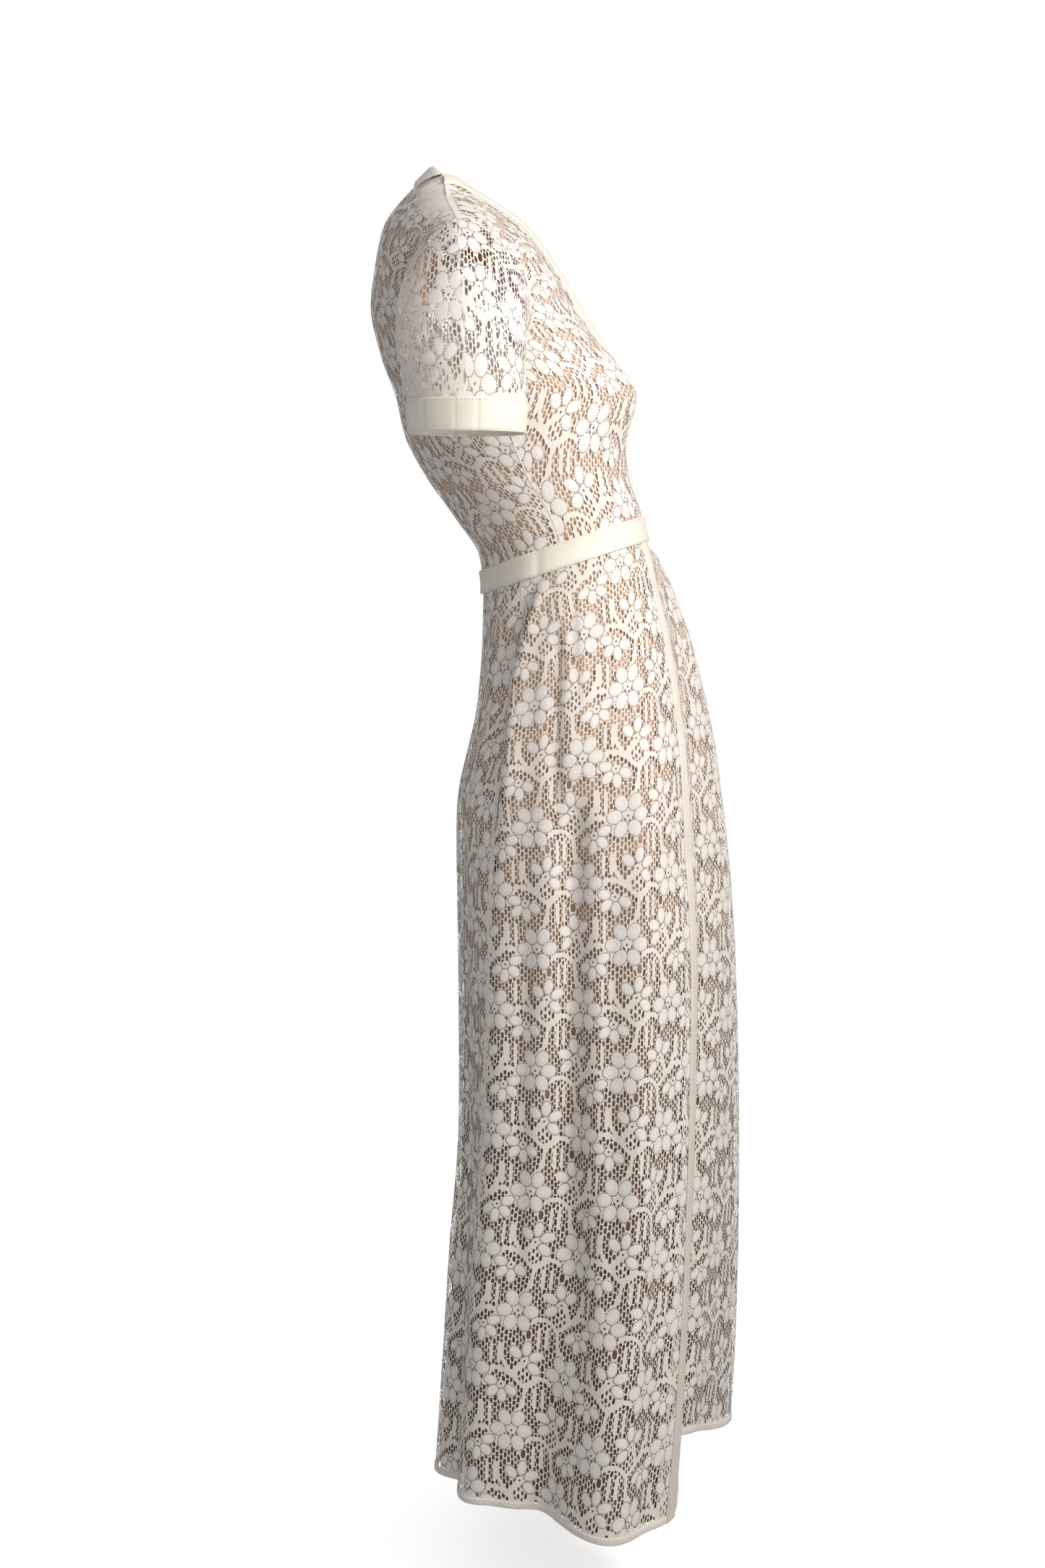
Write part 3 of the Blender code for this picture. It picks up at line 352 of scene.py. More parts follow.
def crease_depth(level, azimuth):
    """How far the worn cloth sinks in at a skirt level, in metres."""
    depth = np.zeros_like(azimuth)
    for places, spread, deep, ahead in CREASES:
        levels = [place[0] for place in places]
        share = (level - levels[0]) / (levels[-1] - levels[0])
        if not 0 < share < 1:
            continue
        away = angle_between(azimuth, np.interp(level, levels, [place[1] for place in places]))
        width = np.where(away * np.sign(places[0][1]) > 0, spread, spread * ahead)
        strength = min(1.0, share / 0.12) * min(1.0, (1 - share) / 0.45)
        depth = depth + deep * strength * (3 - 2 * strength) * strength * np.exp(-((away / width) ** 2))
    return depth


def lengths_along(points):
    steps = np.linalg.norm(np.diff(points, axis=0), axis=1)
    return np.concatenate([[0], np.cumsum(steps)])


def skirt_row(level, shares):
    """Points at shares of the ring's length, counted from the right front edge."""
    azimuth, points = skirt_ring(level)
    lengths = lengths_along(points)
    start = np.interp(skirt("edge_azimuth", skirt_height(level)), azimuth, lengths)
    places = (start + shares * lengths[-1]) % lengths[-1]
    return along_path(places, lengths, points)


def skirt_points(levels, shares):
    return np.array([skirt_row(level, shares) for level in levels])


def outward_normals(points, centre):
    """Unit normals of a grid of points, facing away from the line or point given."""
    down = np.gradient(points, axis=0)
    along = np.gradient(points, axis=1)
    normals = unit(np.cross(down, along))
    away = points - centre
    flip = np.sign((normals * away).sum())
    return normals * (flip if flip else 1.0)


# The lace repeat, charted in millimetres from the first small flower. Every second column is mirrored
# and half a period lower. The hung cloth is stretched down, and the chart starts at a place of each panel.
LACE_COLUMN_MM = 50.0
LACE_PERIOD_MM = 117.0
REPEAT_MM = 2 * LACE_COLUMN_MM
LACE_STRETCH = 125.0 / LACE_PERIOD_MM
LACE_START = (50.0, 115.7 / LACE_STRETCH)
FLOWER_IN_COLUMN = (16.5, 64.0)
NET_COLUMNS = 26
NET_ROWS = 18
NET_ACROSS = REPEAT_MM / NET_COLUMNS
NET_DOWN = LACE_PERIOD_MM / NET_ROWS
# centre x and y, first petal's angle, angle between petals, petals, then a petal centre's reach, half length
# and half width
FLOWERS = (
    (0.0, 0.0, 143.0, 59.0, 4, 12.3, 7.7, 5.2),
    (22.5, 24.3, -16.0, 56.0, 4, 11.3, 7.3, 5.0),
    (10.4, 68.5, 0.0, 60.0, 6, 13.6, 8.3, 6.7),
)
# smooth ribs: half width, then their places
RIBS = (
    (1.6, ((-27, 20), (-22, 17.2), (-16, 16.6), (-9, 19.5), (-2.5, 25.5), (-1, 33), (-0.5, 41), (3, 47.0), (7, 50))),
    (1.6, ((-2.5, 25.5), (4, 21.5), (10.5, 15.5), (17, 12.0), (23, 8.6), (29.5, 8.4), (35, 11.5), (38.5, 16.5),
           (40, 22))),
    (1.9, ((2.5, 1.5), (6, 6), (10.5, 15.5))),
    (1.5, ((10.5, 15.5), (18, 7.0), (22.0, 0), (23.5, -8), (23, -15))),
)
# upright bars beside a row of long gaps: x, top y, bottom y, half width
BARS = (
    (-20.0, 28.0, 43.5, 1.5),
    (-12.0, 28.0, 43.5, 1.8),
    (33.0, 45.0, 60.0, 1.5),
    (41.0, 45.0, 60.0, 1.8),
)
HEARTS = tuple((flower[0], flower[1], 3.4) for flower in FLOWERS)
FINE_NET = ((2.0, 12.0, 9.0), (-10.0, 24.0, 5.0))
BIG_GAP = (14.0, 40.5 / LACE_STRETCH)
GAP_HALF = (1.58, 2.80)
# the net stays clear of the motif at a gap's centre and rim, inside a share of its mesh, and small gaps close
CLEAR_CENTRE = 0.55
CLEAR_RIM = 0.25
GAP_SHARE = 0.90
SMALLEST_GAP_AREA = 1.6
# half a mesh across and down, that a gap keeps from the plain margins
MARGIN_PAST_CENTRE = (1.6, 2.2)


def warped(x, y):
    """The net's places drawn a little uneven, and drawn apart round the largest gap of each motif."""
    turn_x = 2 * math.pi * x / REPEAT_MM
    turn_y = 2 * math.pi * y / LACE_PERIOD_MM
    dx = 0.30 * np.sin(5 * turn_x + 3 * turn_y + 1.0) + 0.26 * np.sin(-7 * turn_x + 8 * turn_y + 2.1)
    dy = 0.34 * np.sin(6 * turn_x - 4 * turn_y + 0.4) + 0.30 * np.sin(3 * turn_x + 9 * turn_y + 4.0)
    for odd in (0, 1):
        goal_x = REPEAT_MM - BIG_GAP[0] if odd else BIG_GAP[0]
        goal_y = BIG_GAP[1] + odd * LACE_PERIOD_MM / 2
        row = math.floor(goal_x / NET_ACROSS)
        start_x = (row + 0.5) * NET_ACROSS
        lift = 0.25 + 0.5 * (row % 2)
        start_y = (round(goal_y / NET_DOWN - lift) + lift) * NET_DOWN
        from_x = (x - start_x + LACE_COLUMN_MM) % REPEAT_MM - LACE_COLUMN_MM
        from_y = in_period(y - start_y)
        away = from_x**2 + from_y**2
        still, moved, wider = 1 - np.exp(-away / 60), np.exp(-away / 80), 0.6 * np.exp(-away / 30)
        dx = dx * still + (goal_x - start_x) * moved + from_x * wider
        dy = dy * still + (goal_y - start_y) * moved + from_y * wider
    return x + dx, y + dy


def in_period(down):
    """A distance down the cloth, brought to within half a period of zero."""
    return (down + LACE_PERIOD_MM / 2) % LACE_PERIOD_MM - LACE_PERIOD_MM / 2


def columns_beside(x, y):
    """The same place measured from the first flower of its own column and of both beside it."""
    for beside in (-1, 0, 1):
        number = np.floor(x / LACE_COLUMN_MM) + beside
        odd = number % 2
        inside = x - number * LACE_COLUMN_MM
        across = np.where(odd > 0, LACE_COLUMN_MM - inside, inside) - FLOWER_IN_COLUMN[0]
        yield across, y - FLOWER_IN_COLUMN[1] - odd * LACE_PERIOD_MM / 2


def from_segment(dx, dy, end_x, end_y):
    """Distance to a segment, where all is measured from the segment's start."""
    share = np.clip((dx * end_x + dy * end_y) / (end_x**2 + end_y**2), 0, 1)
    return np.hypot(dx - share * end_x, dy - share * end_y)


def motif_distance(x, y):
    """Distance to the motif's solid parts at a place of the repeat, in mm, below zero inside them."""
    found = np.full(np.shape(x), 99.0)
    for across, down in columns_beside(x, y):
        for centre_x, centre_y, angle, step, petals, reach, long, wide in FLOWERS:
            dx, dy = across - centre_x, in_period(down - centre_y)
            for petal in range(petals):
                turn = math.radians(angle + step * petal)
                along = dx * math.cos(turn) + dy * math.sin(turn) - reach
                aside = -dx * math.sin(turn) + dy * math.cos(turn)
                oval = np.sqrt((along / long) ** 2 + (aside / wide) ** 2)
                found = np.minimum(found, (oval - 1) * wide)
        for centre_x, centre_y, radius in HEARTS:
            found = np.minimum(found, np.hypot(across - centre_x, in_period(down - centre_y)) - radius)
        lines = list(RIBS) + [(half, ((bar_x, top), (bar_x, bottom))) for bar_x, top, bottom, half in BARS]
        for half, places in lines:
            for (ax, ay), (bx, by) in zip(places[:-1], places[1:]):
                away = from_segment(across - ax, in_period(down - ay), bx - ax, by - ay)
                found = np.minimum(found, away - half)
    return found


def fineness(x, y):
    """1 in the plain net and less where the net is finer."""
    found = np.ones(np.shape(x))
    for across, down in columns_beside(x, y):
        for centre_x, centre_y, radius in FINE_NET:
            away = np.hypot(across - centre_x, in_period(down - centre_y))
            found = np.minimum(found, np.where(away < radius, 0.74, 1.0))
    return found


HALF_TOP = NET_ACROSS / 2 - 0.45
HALF_WIDE = NET_ACROSS / 2 + 0.45
# a mesh's six corners: x, y, and its place in the lattice of all corners
CORNERS = (
    (HALF_WIDE, 0.0, 3, 0),
    (HALF_TOP, NET_DOWN / 2, 1, 1),
    (-HALF_TOP, NET_DOWN / 2, -1, 1),
    (-HALF_WIDE, 0.0, -3, 0),
    (-HALF_TOP, -NET_DOWN / 2, -1, -1),
    (HALF_TOP, -NET_DOWN / 2, 1, -1),
)
RIM_ANGLES = (0, 36, 66, 90, 114, 144, 180, 216, 246, 270, 294, 324)
RIM_OF_CORNER = (0, 2, 4, 6, 8, 10)


def ring_area(x, y):
    """Areas of rings of points, whose corners lie along the last axis."""
    return 0.5 * np.abs((x * np.roll(y, -1, -1) - y * np.roll(x, -1, -1)).sum(-1))


def net_repeat():
    """One repeat of the net: which meshes are open, and the rim of each one's gap."""
    numbers = np.arange(NET_COLUMNS)
    rows = np.arange(NET_ROWS)
    number, row = np.meshgrid(numbers, rows, indexing="ij")
    centre_x = (number + 0.5) * NET_ACROSS
    centre_y = (row + 0.25 + 0.5 * (number % 2)) * NET_DOWN
    real_x, real_y = warped(centre_x, centre_y)
    clear = motif_distance(real_x, real_y)
    step = 0.4
    slope_x = (motif_distance(real_x + step, real_y) - motif_distance(real_x - step, real_y)) / (2 * step)
    slope_y = (motif_distance(real_x, real_y + step) - motif_distance(real_x, real_y - step)) / (2 * step)
    steep = np.maximum(np.hypot(slope_x, slope_y), 1e-3)
    push = np.clip(1.5 - clear, 0, 1.3)
    start_x = centre_x + push * slope_x / steep
    start_y = centre_y + push * slope_y / steep
    is_open = motif_distance(*warped(start_x, start_y)) > CLEAR_CENTRE
    angles = np.radians(RIM_ANGLES)
    rng = np.random.default_rng(7)
    uneven = rng.uniform(0.9, 1.1, size=centre_x.shape) * fineness(real_x, real_y)
    reach_x = GAP_HALF[0] * np.sign(np.cos(angles)) * np.abs(np.cos(angles)) ** 0.75
    reach_y = GAP_HALF[1] * np.sign(np.sin(angles)) * np.abs(np.sin(angles)) ** 0.75
    best = np.zeros(centre_x.shape + (len(angles),))
    going = np.ones(best.shape, bool)
    for share in np.linspace(0.1, 1.0, 10):
        x = start_x[..., None] + reach_x * share * uneven[..., None]
        y = start_y[..., None] + reach_y * share * uneven[..., None]
        inside = np.zeros(best.shape)
        for side in range(6):
            ax, ay = CORNERS[side][:2]
            bx, by = CORNERS[(side + 1) % 6][:2]
            nx, ny = by - ay, ax - bx
            reach = ax * nx + ay * ny
            inside = np.maximum(inside, ((x - centre_x[..., None]) * nx + (y - centre_y[..., None]) * ny) / reach)
        going &= (inside < GAP_SHARE) & (motif_distance(*warped(x, y)) > CLEAR_RIM)
        best = np.where(going, share, best)
    rim_x = start_x[..., None] + reach_x * best * uneven[..., None]
    rim_y = start_y[..., None] + reach_y * best * uneven[..., None]
    is_open &= ring_area(rim_x, rim_y) > SMALLEST_GAP_AREA
    return is_open, rim_x - centre_x[..., None], rim_y - centre_y[..., None]


NET_OPEN, RIM_X, RIM_Y = net_repeat()


class Cloth:
    """A smooth sheet of cloth: a grid of points, and its measure in fabric millimetres."""

    def __init__(self, points, normals, middle, samples=240):
        self.down = lengths_along(points[:, middle]) / MM
        across = np.array([lengths_along(row) for row in points]) / MM
        self.left = -across[:, middle]
        self.right = across[:, -1] - across[:, middle]
        shares = np.linspace(0, 1, samples + 1)
        self.points = np.empty((len(points), samples + 1, 3))
        self.normals = np.empty_like(self.points)
        for index, row in enumerate(points):
            places = across[index] / across[index, -1]
            for axis in range(3):
                self.points[index, :, axis] = np.interp(shares, places, row[:, axis])
                self.normals[index, :, axis] = np.interp(shares, places, normals[index, :, axis])
        self.normals = unit(self.normals)
        self.samples = samples

    def edges(self, down):
        return np.interp(down, self.down, self.left), np.interp(down, self.down, self.right)

    def place(self, across, down, out=0.0):
        """Points of the sheet at fabric places, moved out along its normals."""
        down = np.clip(down, 0, self.down[-1])
        left, right = self.edges(down)
        share = np.clip((across - left) / (right - left), 0, 1) * self.samples
        row = np.clip(np.searchsorted(self.down, down) - 1, 0, len(self.down) - 2)
        part = (down - self.down[row]) / (self.down[row + 1] - self.down[row])
        cell = np.minimum(share.astype(int), self.samples - 1)
        rest = share - cell
        part, rest = part[..., None], rest[..., None]

        def mixed(grid):
            low = grid[row, cell] * (1 - rest) + grid[row, cell + 1] * rest
            high = grid[row + 1, cell] * (1 - rest) + grid[row + 1, cell + 1] * rest
            return low * (1 - part) + high * part

        points, normals = mixed(self.points), unit(mixed(self.normals))
        return points + normals * np.asarray(out)[..., None], normals


def add_object(name, data):
    made = bpy.data.objects.new(name, data)
    bpy.context.scene.collection.objects.link(made)
    return made


def new_mesh(name, points, faces, material, uvs=None):
    """A mesh from points, faces of any size, and named UV maps given per point."""
    mesh = bpy.data.meshes.new(name)
    sizes = np.array([len(face) for group in faces for face in group[:1] for _ in range(len(group))], dtype=np.int32)
    corners = np.concatenate([np.asarray(group).reshape(-1) for group in faces]).astype(np.int32)
    mesh.vertices.add(len(points))
    mesh.vertices.foreach_set("co", np.asarray(points, dtype=np.float32).reshape(-1))
    mesh.loops.add(len(corners))
    mesh.loops.foreach_set("vertex_index", corners)
    mesh.polygons.add(len(sizes))
    starts = np.concatenate([[0], np.cumsum(sizes)[:-1]]).astype(np.int32)
    mesh.polygons.foreach_set("loop_start", starts)
    mesh.polygons.foreach_set("use_smooth", np.ones(len(sizes), dtype=bool))
    mesh.update(calc_edges=True)
    for map_name, values in (uvs or {}).items():
        layer = mesh.uv_layers.new(name=map_name)
        layer.uv.foreach_set("vector", np.asarray(values, dtype=np.float32)[corners].reshape(-1))
    mesh.validate()
    mesh.materials.append(material)
    return add_object(name, mesh)


def fabric_map(across, down):
    """UVs of the cloth's own measure: one unit is a repeat of the lace."""
    return np.stack([np.ravel(across) / REPEAT_MM, np.ravel(down) / LACE_PERIOD_MM], axis=1)


def lace_piece(name, cloth, material, solid=(3.0, 3.0, 3.0), out=-0.6 * MM):
    """The net of one panel. solid is the plain margin at its top, its hem and its sides, in mm."""
    length = cloth.down[-1]
    begin_x, begin_y = LACE_START
    first = int(math.floor((cloth.left.min() + begin_x) / NET_ACROSS)) - 2
    last = int(math.ceil((cloth.right.max() + begin_x) / NET_ACROSS)) + 2
    row_first = int(math.floor(begin_y / NET_DOWN)) - 2
    row_last = int(math.ceil((begin_y + length / LACE_STRETCH) / NET_DOWN)) + 2
    number, row = np.meshgrid(np.arange(first, last), np.arange(row_first, row_last), indexing="ij")
    number, row = number.ravel(), row.ravel()
    x = (number + 0.5) * NET_ACROSS
    y = (row + 0.25 + 0.5 * (number % 2)) * NET_DOWN
    across, down = x - begin_x, (y - begin_y) * LACE_STRETCH
    left, right = cloth.edges(np.clip(down, 0, length))
    slope = np.abs(np.gradient(cloth.left, cloth.down)).max() + np.abs(np.gradient(cloth.right, cloth.down)).max()
    beyond = 3.8 + 3.6 * min(slope, 1.5)
    kept = (across > left - beyond) & (across < right + beyond) & (down > -4.4) & (down < length + 4.4)
    number, row, x, y, across, down, left, right = (
        values[kept] for values in (number, row, x, y, across, down, left, right)
    )
    is_open = NET_OPEN[number % NET_COLUMNS, row % NET_ROWS]
    beside, below = MARGIN_PAST_CENTRE
    is_open &= (across > left + solid[2] + beside) & (across < right - solid[2] - beside)
    is_open &= (down > solid[0] + below) & (down < length - solid[1] - below)
    keys = np.array([[4 * number + kx, 4 * row + 2 * (number % 2) + 2 * ky] for _, _, kx, ky in CORNERS])
    keys = keys.transpose(2, 0, 1).reshape(-1, 2)
    corner_x = (x[:, None] + np.array([corner[0] for corner in CORNERS])).reshape(-1)
    corner_y = (y[:, None] + np.array([corner[1] for corner in CORNERS])).reshape(-1)
    code = keys[:, 0].astype(np.int64) * 100000 + keys[:, 1]
    _, found, which = np.unique(code, return_index=True, return_inverse=True)
    which = which.reshape(-1, 6)
    rim_x = x[is_open, None] + RIM_X[number[is_open] % NET_COLUMNS, row[is_open] % NET_ROWS]
    rim_y = y[is_open, None] + RIM_Y[number[is_open] % NET_COLUMNS, row[is_open] % NET_ROWS]
    chart_x = np.concatenate([corner_x[found], rim_x.reshape(-1)])
    chart_y = np.concatenate([corner_y[found], rim_y.reshape(-1)])
    chart_x, chart_y = warped(chart_x, chart_y)
    all_across, all_down = chart_x - begin_x, (chart_y - begin_y) * LACE_STRETCH
    points, _ = cloth.place(all_across, all_down, out)
    rims = len(found) + np.arange(rim_x.size).reshape(rim_x.shape)
    ring = which[is_open]
    strips = []
    for side in range(6):
        after = (side + 1) % 6
        start, middle, end = RIM_OF_CORNER[side], RIM_OF_CORNER[side] + 1, RIM_OF_CORNER[after]
        strips.append(np.stack([ring[:, side], ring[:, after], rims[:, end], rims[:, middle], rims[:, start]], axis=1))
    strips = np.concatenate(strips)
    fabric = fabric_map(chart_x, chart_y)
    all_down = np.clip(all_down, 0, length)
    left, right = cloth.edges(all_down)
    width = cloth.right.max() - cloth.left.min()
    bake = np.stack([(np.clip(all_across, left, right) - cloth.left.min()) / width, 1 - all_down / length], axis=1)
    piece = new_mesh(name, points, [which[~is_open], strips], material, {"OFBake": bake, "fabric": fabric})
    gaps = 0.5 * np.abs((rim_x * np.roll(rim_y, -1, 1) - rim_y * np.roll(rim_x, -1, 1)).sum()) * LACE_STRETCH * MM**2
    return piece, gaps


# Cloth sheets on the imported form
SKIRT_LENGTH = WAIST_SEAM_HEIGHT - HEM_HEIGHT
AXIS_LEVEL = np.array([1.0, 1.0, 0.0])


PANEL_COLUMNS = 101
LAP_COLUMNS = 10
# columns over which a panel sinks under the lap, and a lining panel under both
UNDER_COLUMNS = 3
LINING_UNDER_COLUMNS = 20


def skirt_cloth(number, lapped=False, depth=0.0, last_level=1.0):
    """A skirt panel, or a panel of its lining where depth is given."""
    shares = np.linspace(0, 0.25, PANEL_COLUMNS) + 0.25 * number
    if lapped:
        shares = np.concatenate([shares, shares[-1] + np.linspace(0.0025, 0.025, LAP_COLUMNS)])
    levels = np.linspace(0, last_level, 260)
    points = skirt_points(levels, shares)
    centre = points * np.array([0.0, 0.0, 1.0])
    normals = outward_normals(points, centre)
    if lapped:
        sinks = PANEL_COLUMNS - 1 - UNDER_COLUMNS
        under = np.clip((np.arange(len(shares)) - sinks) / UNDER_COLUMNS, 0, 1) * (LACE_THICKNESS + SEAM_GAP)
        points = points - normals * under[None, :, None]
    if depth:
        fade = np.clip(levels / 0.15, 0, 1)
        inward = LACE_THICKNESS + SEAM_GAP + (depth - LACE_THICKNESS - SEAM_GAP) * fade
        inward = np.repeat(inward[:, None], len(shares), axis=1)
        lap = (LACE_THICKNESS + 2 * SEAM_GAP) * np.clip(1 - np.arange(PANEL_COLUMNS) / LINING_UNDER_COLUMNS, 0, 1)
        if number == 0:
            inward += lap
        if number == 3:
            inward += lap[::-1]
        points = points - normals * inward[..., None]
    return Cloth(points, normals, 50)


def bodice_grid(facing, rows, parts):
    row, part = np.meshgrid(rows, parts, indexing="ij")
    return bodice_form(row, part, facing)


def mirrored(points):
    return points * np.array([-1.0, 1.0, 1.0])


def turned(points, side):
    return points if side == "right" else mirrored(points)


def torso_centre(points):
    centre = points.copy()
    centre[..., 0] = 0
    heights = column(TORSO, TORSO_COLUMNS, "height")[::-1]
    centre[..., 1] = np.interp(-points[..., 2], -heights, column(TORSO, TORSO_COLUMNS, "middle")[::-1])
    return centre


def sleeve_grid(armhole, rows):
    """Points of the right sleeve from the armhole's loop: up its front, over the tip and down its back."""
    count = len(armhole)
    turn = np.linspace(-math.pi / 2, 3 * math.pi / 2, count)
    front_share = np.cos(turn)
    outer_share = (1 + np.sin(turn)) / 2
    still = np.zeros(count)
    cuff_x = -CUFF_SIDE - CUFF_HALF_SIDE * np.sin(turn)
    cuff_y = CUFF_DEPTH - CUFF_HALF_DEPTH * front_share
    cuff = np.stack([cuff_x, cuff_y, np.full(count, CUFF_SEAM_HEIGHT)], axis=-1)
    pull = 0.35 + 0.65 * outer_share
    start = armhole + np.stack([-pull, still, -0.2 * outer_share], axis=-1) * SLEEVE_CAP_REACH
    end = cuff + np.stack([still, still, pull * SLEEVE_DROP_REACH], axis=-1)
    lines = []
    for part in np.linspace(0, 1, rows):
        rest = 1 - part
        line = armhole * rest**3 + start * 3 * part * rest**2 + end * 3 * part**2 * rest + cuff * part**3
        line[:, 1] += SLEEVE_BACK_FULLNESS * np.sin(math.pi * part) * np.clip(-front_share, 0, 1)
        lines.append(line)
    return np.array(lines)


def creased(points, normals):
    """The sleeve with its soft creases, which fade out at its seams."""
    depth = np.zeros(points.shape[:2])
    for (y0, z0), (y1, z1), spread, deep in SLEEVE_CREASES:
        away = from_segment(points[..., 1] - y0, points[..., 2] - z0, y1 - y0, z1 - z0)
        depth += deep * np.exp(-((away / spread) ** 2))
    return points - normals * (depth * from_ends(len(points), 8)[:, None])[..., None]


FINE_ROWS = np.linspace(1, 0, 161)
FINE_PARTS = np.linspace(0, 1, 81)
FRONT = bodice_grid(-1, FINE_ROWS, FINE_PARTS)
HALF_BACK = bodice_grid(1, FINE_ROWS, FINE_PARTS)
BACK = np.concatenate([HALF_BACK[:, ::-1], mirrored(HALF_BACK)[:, 1:]], axis=1)
ARM_ROWS = np.linspace(0.5, 1, 49)
ARM_FRONT = bodice_form(ARM_ROWS, np.ones_like(ARM_ROWS), -1)
ARM_BACK = bodice_form(ARM_ROWS, np.ones_like(ARM_ROWS), 1)
ARMHOLE = np.concatenate([ARM_FRONT, ARM_BACK[::-1][1:]])
SLEEVE = sleeve_grid(ARMHOLE, 90)
SLEEVE_NORMALS = outward_normals(SLEEVE, SLEEVE[:, :-1].mean(axis=1, keepdims=True))
SLEEVE = creased(SLEEVE, SLEEVE_NORMALS)
SLEEVE_NORMALS = outward_normals(SLEEVE, SLEEVE[:, :-1].mean(axis=1, keepdims=True))


def front_cloth(side, depth=0.0):
    points = turned(FRONT, side)
    normals = outward_normals(FRONT, torso_centre(FRONT))
    fade = np.clip(-FRONT[:, :1, 0:1] / 0.02, 0, 1)
    normals[:, :1, 0:1] *= fade
    normals = turned(unit(normals), side)
    return Cloth(points - normals * depth, normals, 0, 160)


def back_cloth(depth=0.0):
    normals = outward_normals(BACK, torso_centre(BACK))
    return Cloth(BACK - normals * depth, normals, 80, 240)


def sleeve_cloth(side, half):
    top = len(ARM_ROWS)
    columns = slice(0, top) if half == "front" else slice(top - 1, None)
    points = turned(SLEEVE[:, columns], side)
    return Cloth(points, turned(SLEEVE_NORMALS[:, columns], side), top // 2, 160)


# Materials
def nodes_of(name):
    made = bpy.data.materials.new(name)
    made.use_nodes = True
    tree = made.node_tree
    shader = tree.nodes["Principled BSDF"]
    return made, tree, shader


class Maths:
    """Short names for shader nodes."""

    def __init__(self, tree):
        self.tree = tree

    def put(self, socket, value):
        if isinstance(value, (int, float, tuple)):
            socket.default_value = value
        else:
            self.tree.links.new(value, socket)

    def set(self, node, values):
        for name, value in values.items():
            self.put(node.inputs[name], value)

    def do(self, operation, *values):
        node = self.tree.nodes.new("ShaderNodeMath")
        node.operation = operation
        for socket, value in zip(node.inputs, values):
            self.put(socket, value)
        return node.outputs[0]

    def add(self, a, b):
        return self.do("ADD", a, b)

    def sub(self, a, b):
        return self.do("SUBTRACT", a, b)

    def mul(self, a, b):
        return self.do("MULTIPLY", a, b)

    def least(self, a, b):
        return self.do("MINIMUM", a, b)

    def fade(self, value, low, high, start=0.0, end=1.0):
        node = self.tree.nodes.new("ShaderNodeMapRange")
        node.interpolation_type = "SMOOTHSTEP"
        self.put(node.inputs["Value"], value)
        self.set(node, {"From Min": low, "From Max": high, "To Min": start, "To Max": end})
        return node.outputs["Result"]

    def noise(self, vector, scale, detail=2.0):
        node = self.tree.nodes.new("ShaderNodeTexNoise")
        self.put(node.inputs["Vector"], vector)
        self.set(node, {"Scale": scale, "Detail": detail})
        return node.outputs["Fac"]

    def mix(self, share, first, second):
        node = self.tree.nodes.new("ShaderNodeMix")
        node.data_type = "RGBA"
        self.set(node, {"Factor": share, "A": first, "B": second})
        return node.outputs["Result"]

    def bump(self, height, strength, distance):
        node = self.tree.nodes.new("ShaderNodeBump")
        self.set(node, {"Strength": strength, "Distance": distance})
        self.put(node.inputs["Height"], height)
        return node.outputs["Normal"]

    def object_place(self):
        return self.tree.nodes.new("ShaderNodeTexCoord").outputs["Object"]

    def fabric(self):
        """X and y of the cloth's own measure, in mm."""
        node = self.tree.nodes.new("ShaderNodeUVMap")
        node.uv_map = "fabric"
        u, v, _ = self.parts(node.outputs["UV"])
        return self.mul(u, REPEAT_MM), self.mul(v, LACE_PERIOD_MM)

    def parts(self, vector):
        node = self.tree.nodes.new("ShaderNodeSeparateXYZ")
        self.put(node.inputs[0], vector)
        return node.outputs


def flower_distance(m, across, down, flower):
    """Nodes for the distance to a flower's petals, in mm, below zero inside one."""
    centre_x, centre_y, angle, step, petals, reach, long, wide = flower
    dx = m.sub(across, centre_x)
    dy = m.add(down, LACE_PERIOD_MM / 2 - centre_y + LACE_PERIOD_MM)
    dy = m.sub(m.do("FLOORED_MODULO", dy, LACE_PERIOD_MM), LACE_PERIOD_MM / 2)
    away = m.do("SQRT", m.add(m.mul(dx, dx), m.mul(dy, dy)))
    turn = m.do("ARCTAN2", dy, dx)
    steps = m.mul(m.sub(turn, math.radians(angle)), 1 / math.radians(step))
    steps = m.do("FLOORED_MODULO", m.add(steps, 0.5), 360.0 / step)
    number = m.do("FLOOR", steps)
    local = m.mul(m.sub(m.sub(steps, number), 0.5), math.radians(step))
    along = m.mul(m.sub(m.mul(away, m.do("COSINE", local)), reach), 1 / long)
    aside = m.mul(m.mul(away, m.do("SINE", local)), 1 / wide)
    oval = m.do("SQRT", m.add(m.mul(along, along), m.mul(aside, aside)))
    found = m.mul(m.sub(oval, 1.0), wide)
    if petals < 6:
        found = m.add(found, m.mul(m.do("GREATER_THAN", number, petals - 0.5), 50.0))
    round_petal = m.do("COSINE", m.mul(m.do("ARCTAN2", aside, along), float(round((long + wide) * 1.5))))
    line = m.do("LESS_THAN", m.do("ABSOLUTE", m.add(found, 0.15)), 0.42)
    pins = m.mul(line, m.do("GREATER_THAN", round_petal, -0.10))
    return found, away, aside, pins


PETAL_COLOUR = (0.93, 0.87, 0.84, 1.0)
# painted shade: the dark seen through the pinholes round each petal, painted on the thread beside them
PINHOLE_SHADE_COLOUR = (0.33, 0.26, 0.22, 1.0)
STRIPE_COLOUR = (0.60, 0.54, 0.52, 1.0)
SPOT_COLOUR = (0.96, 0.94, 0.91, 1.0)
SPECK_COLOUR = (0.42, 0.36, 0.31, 1.0)
# heights between which a cloth's colour is painted darker toward the hem, as painted shade
PAINTED_SHADE_HEIGHTS = (-1.10, -0.45)


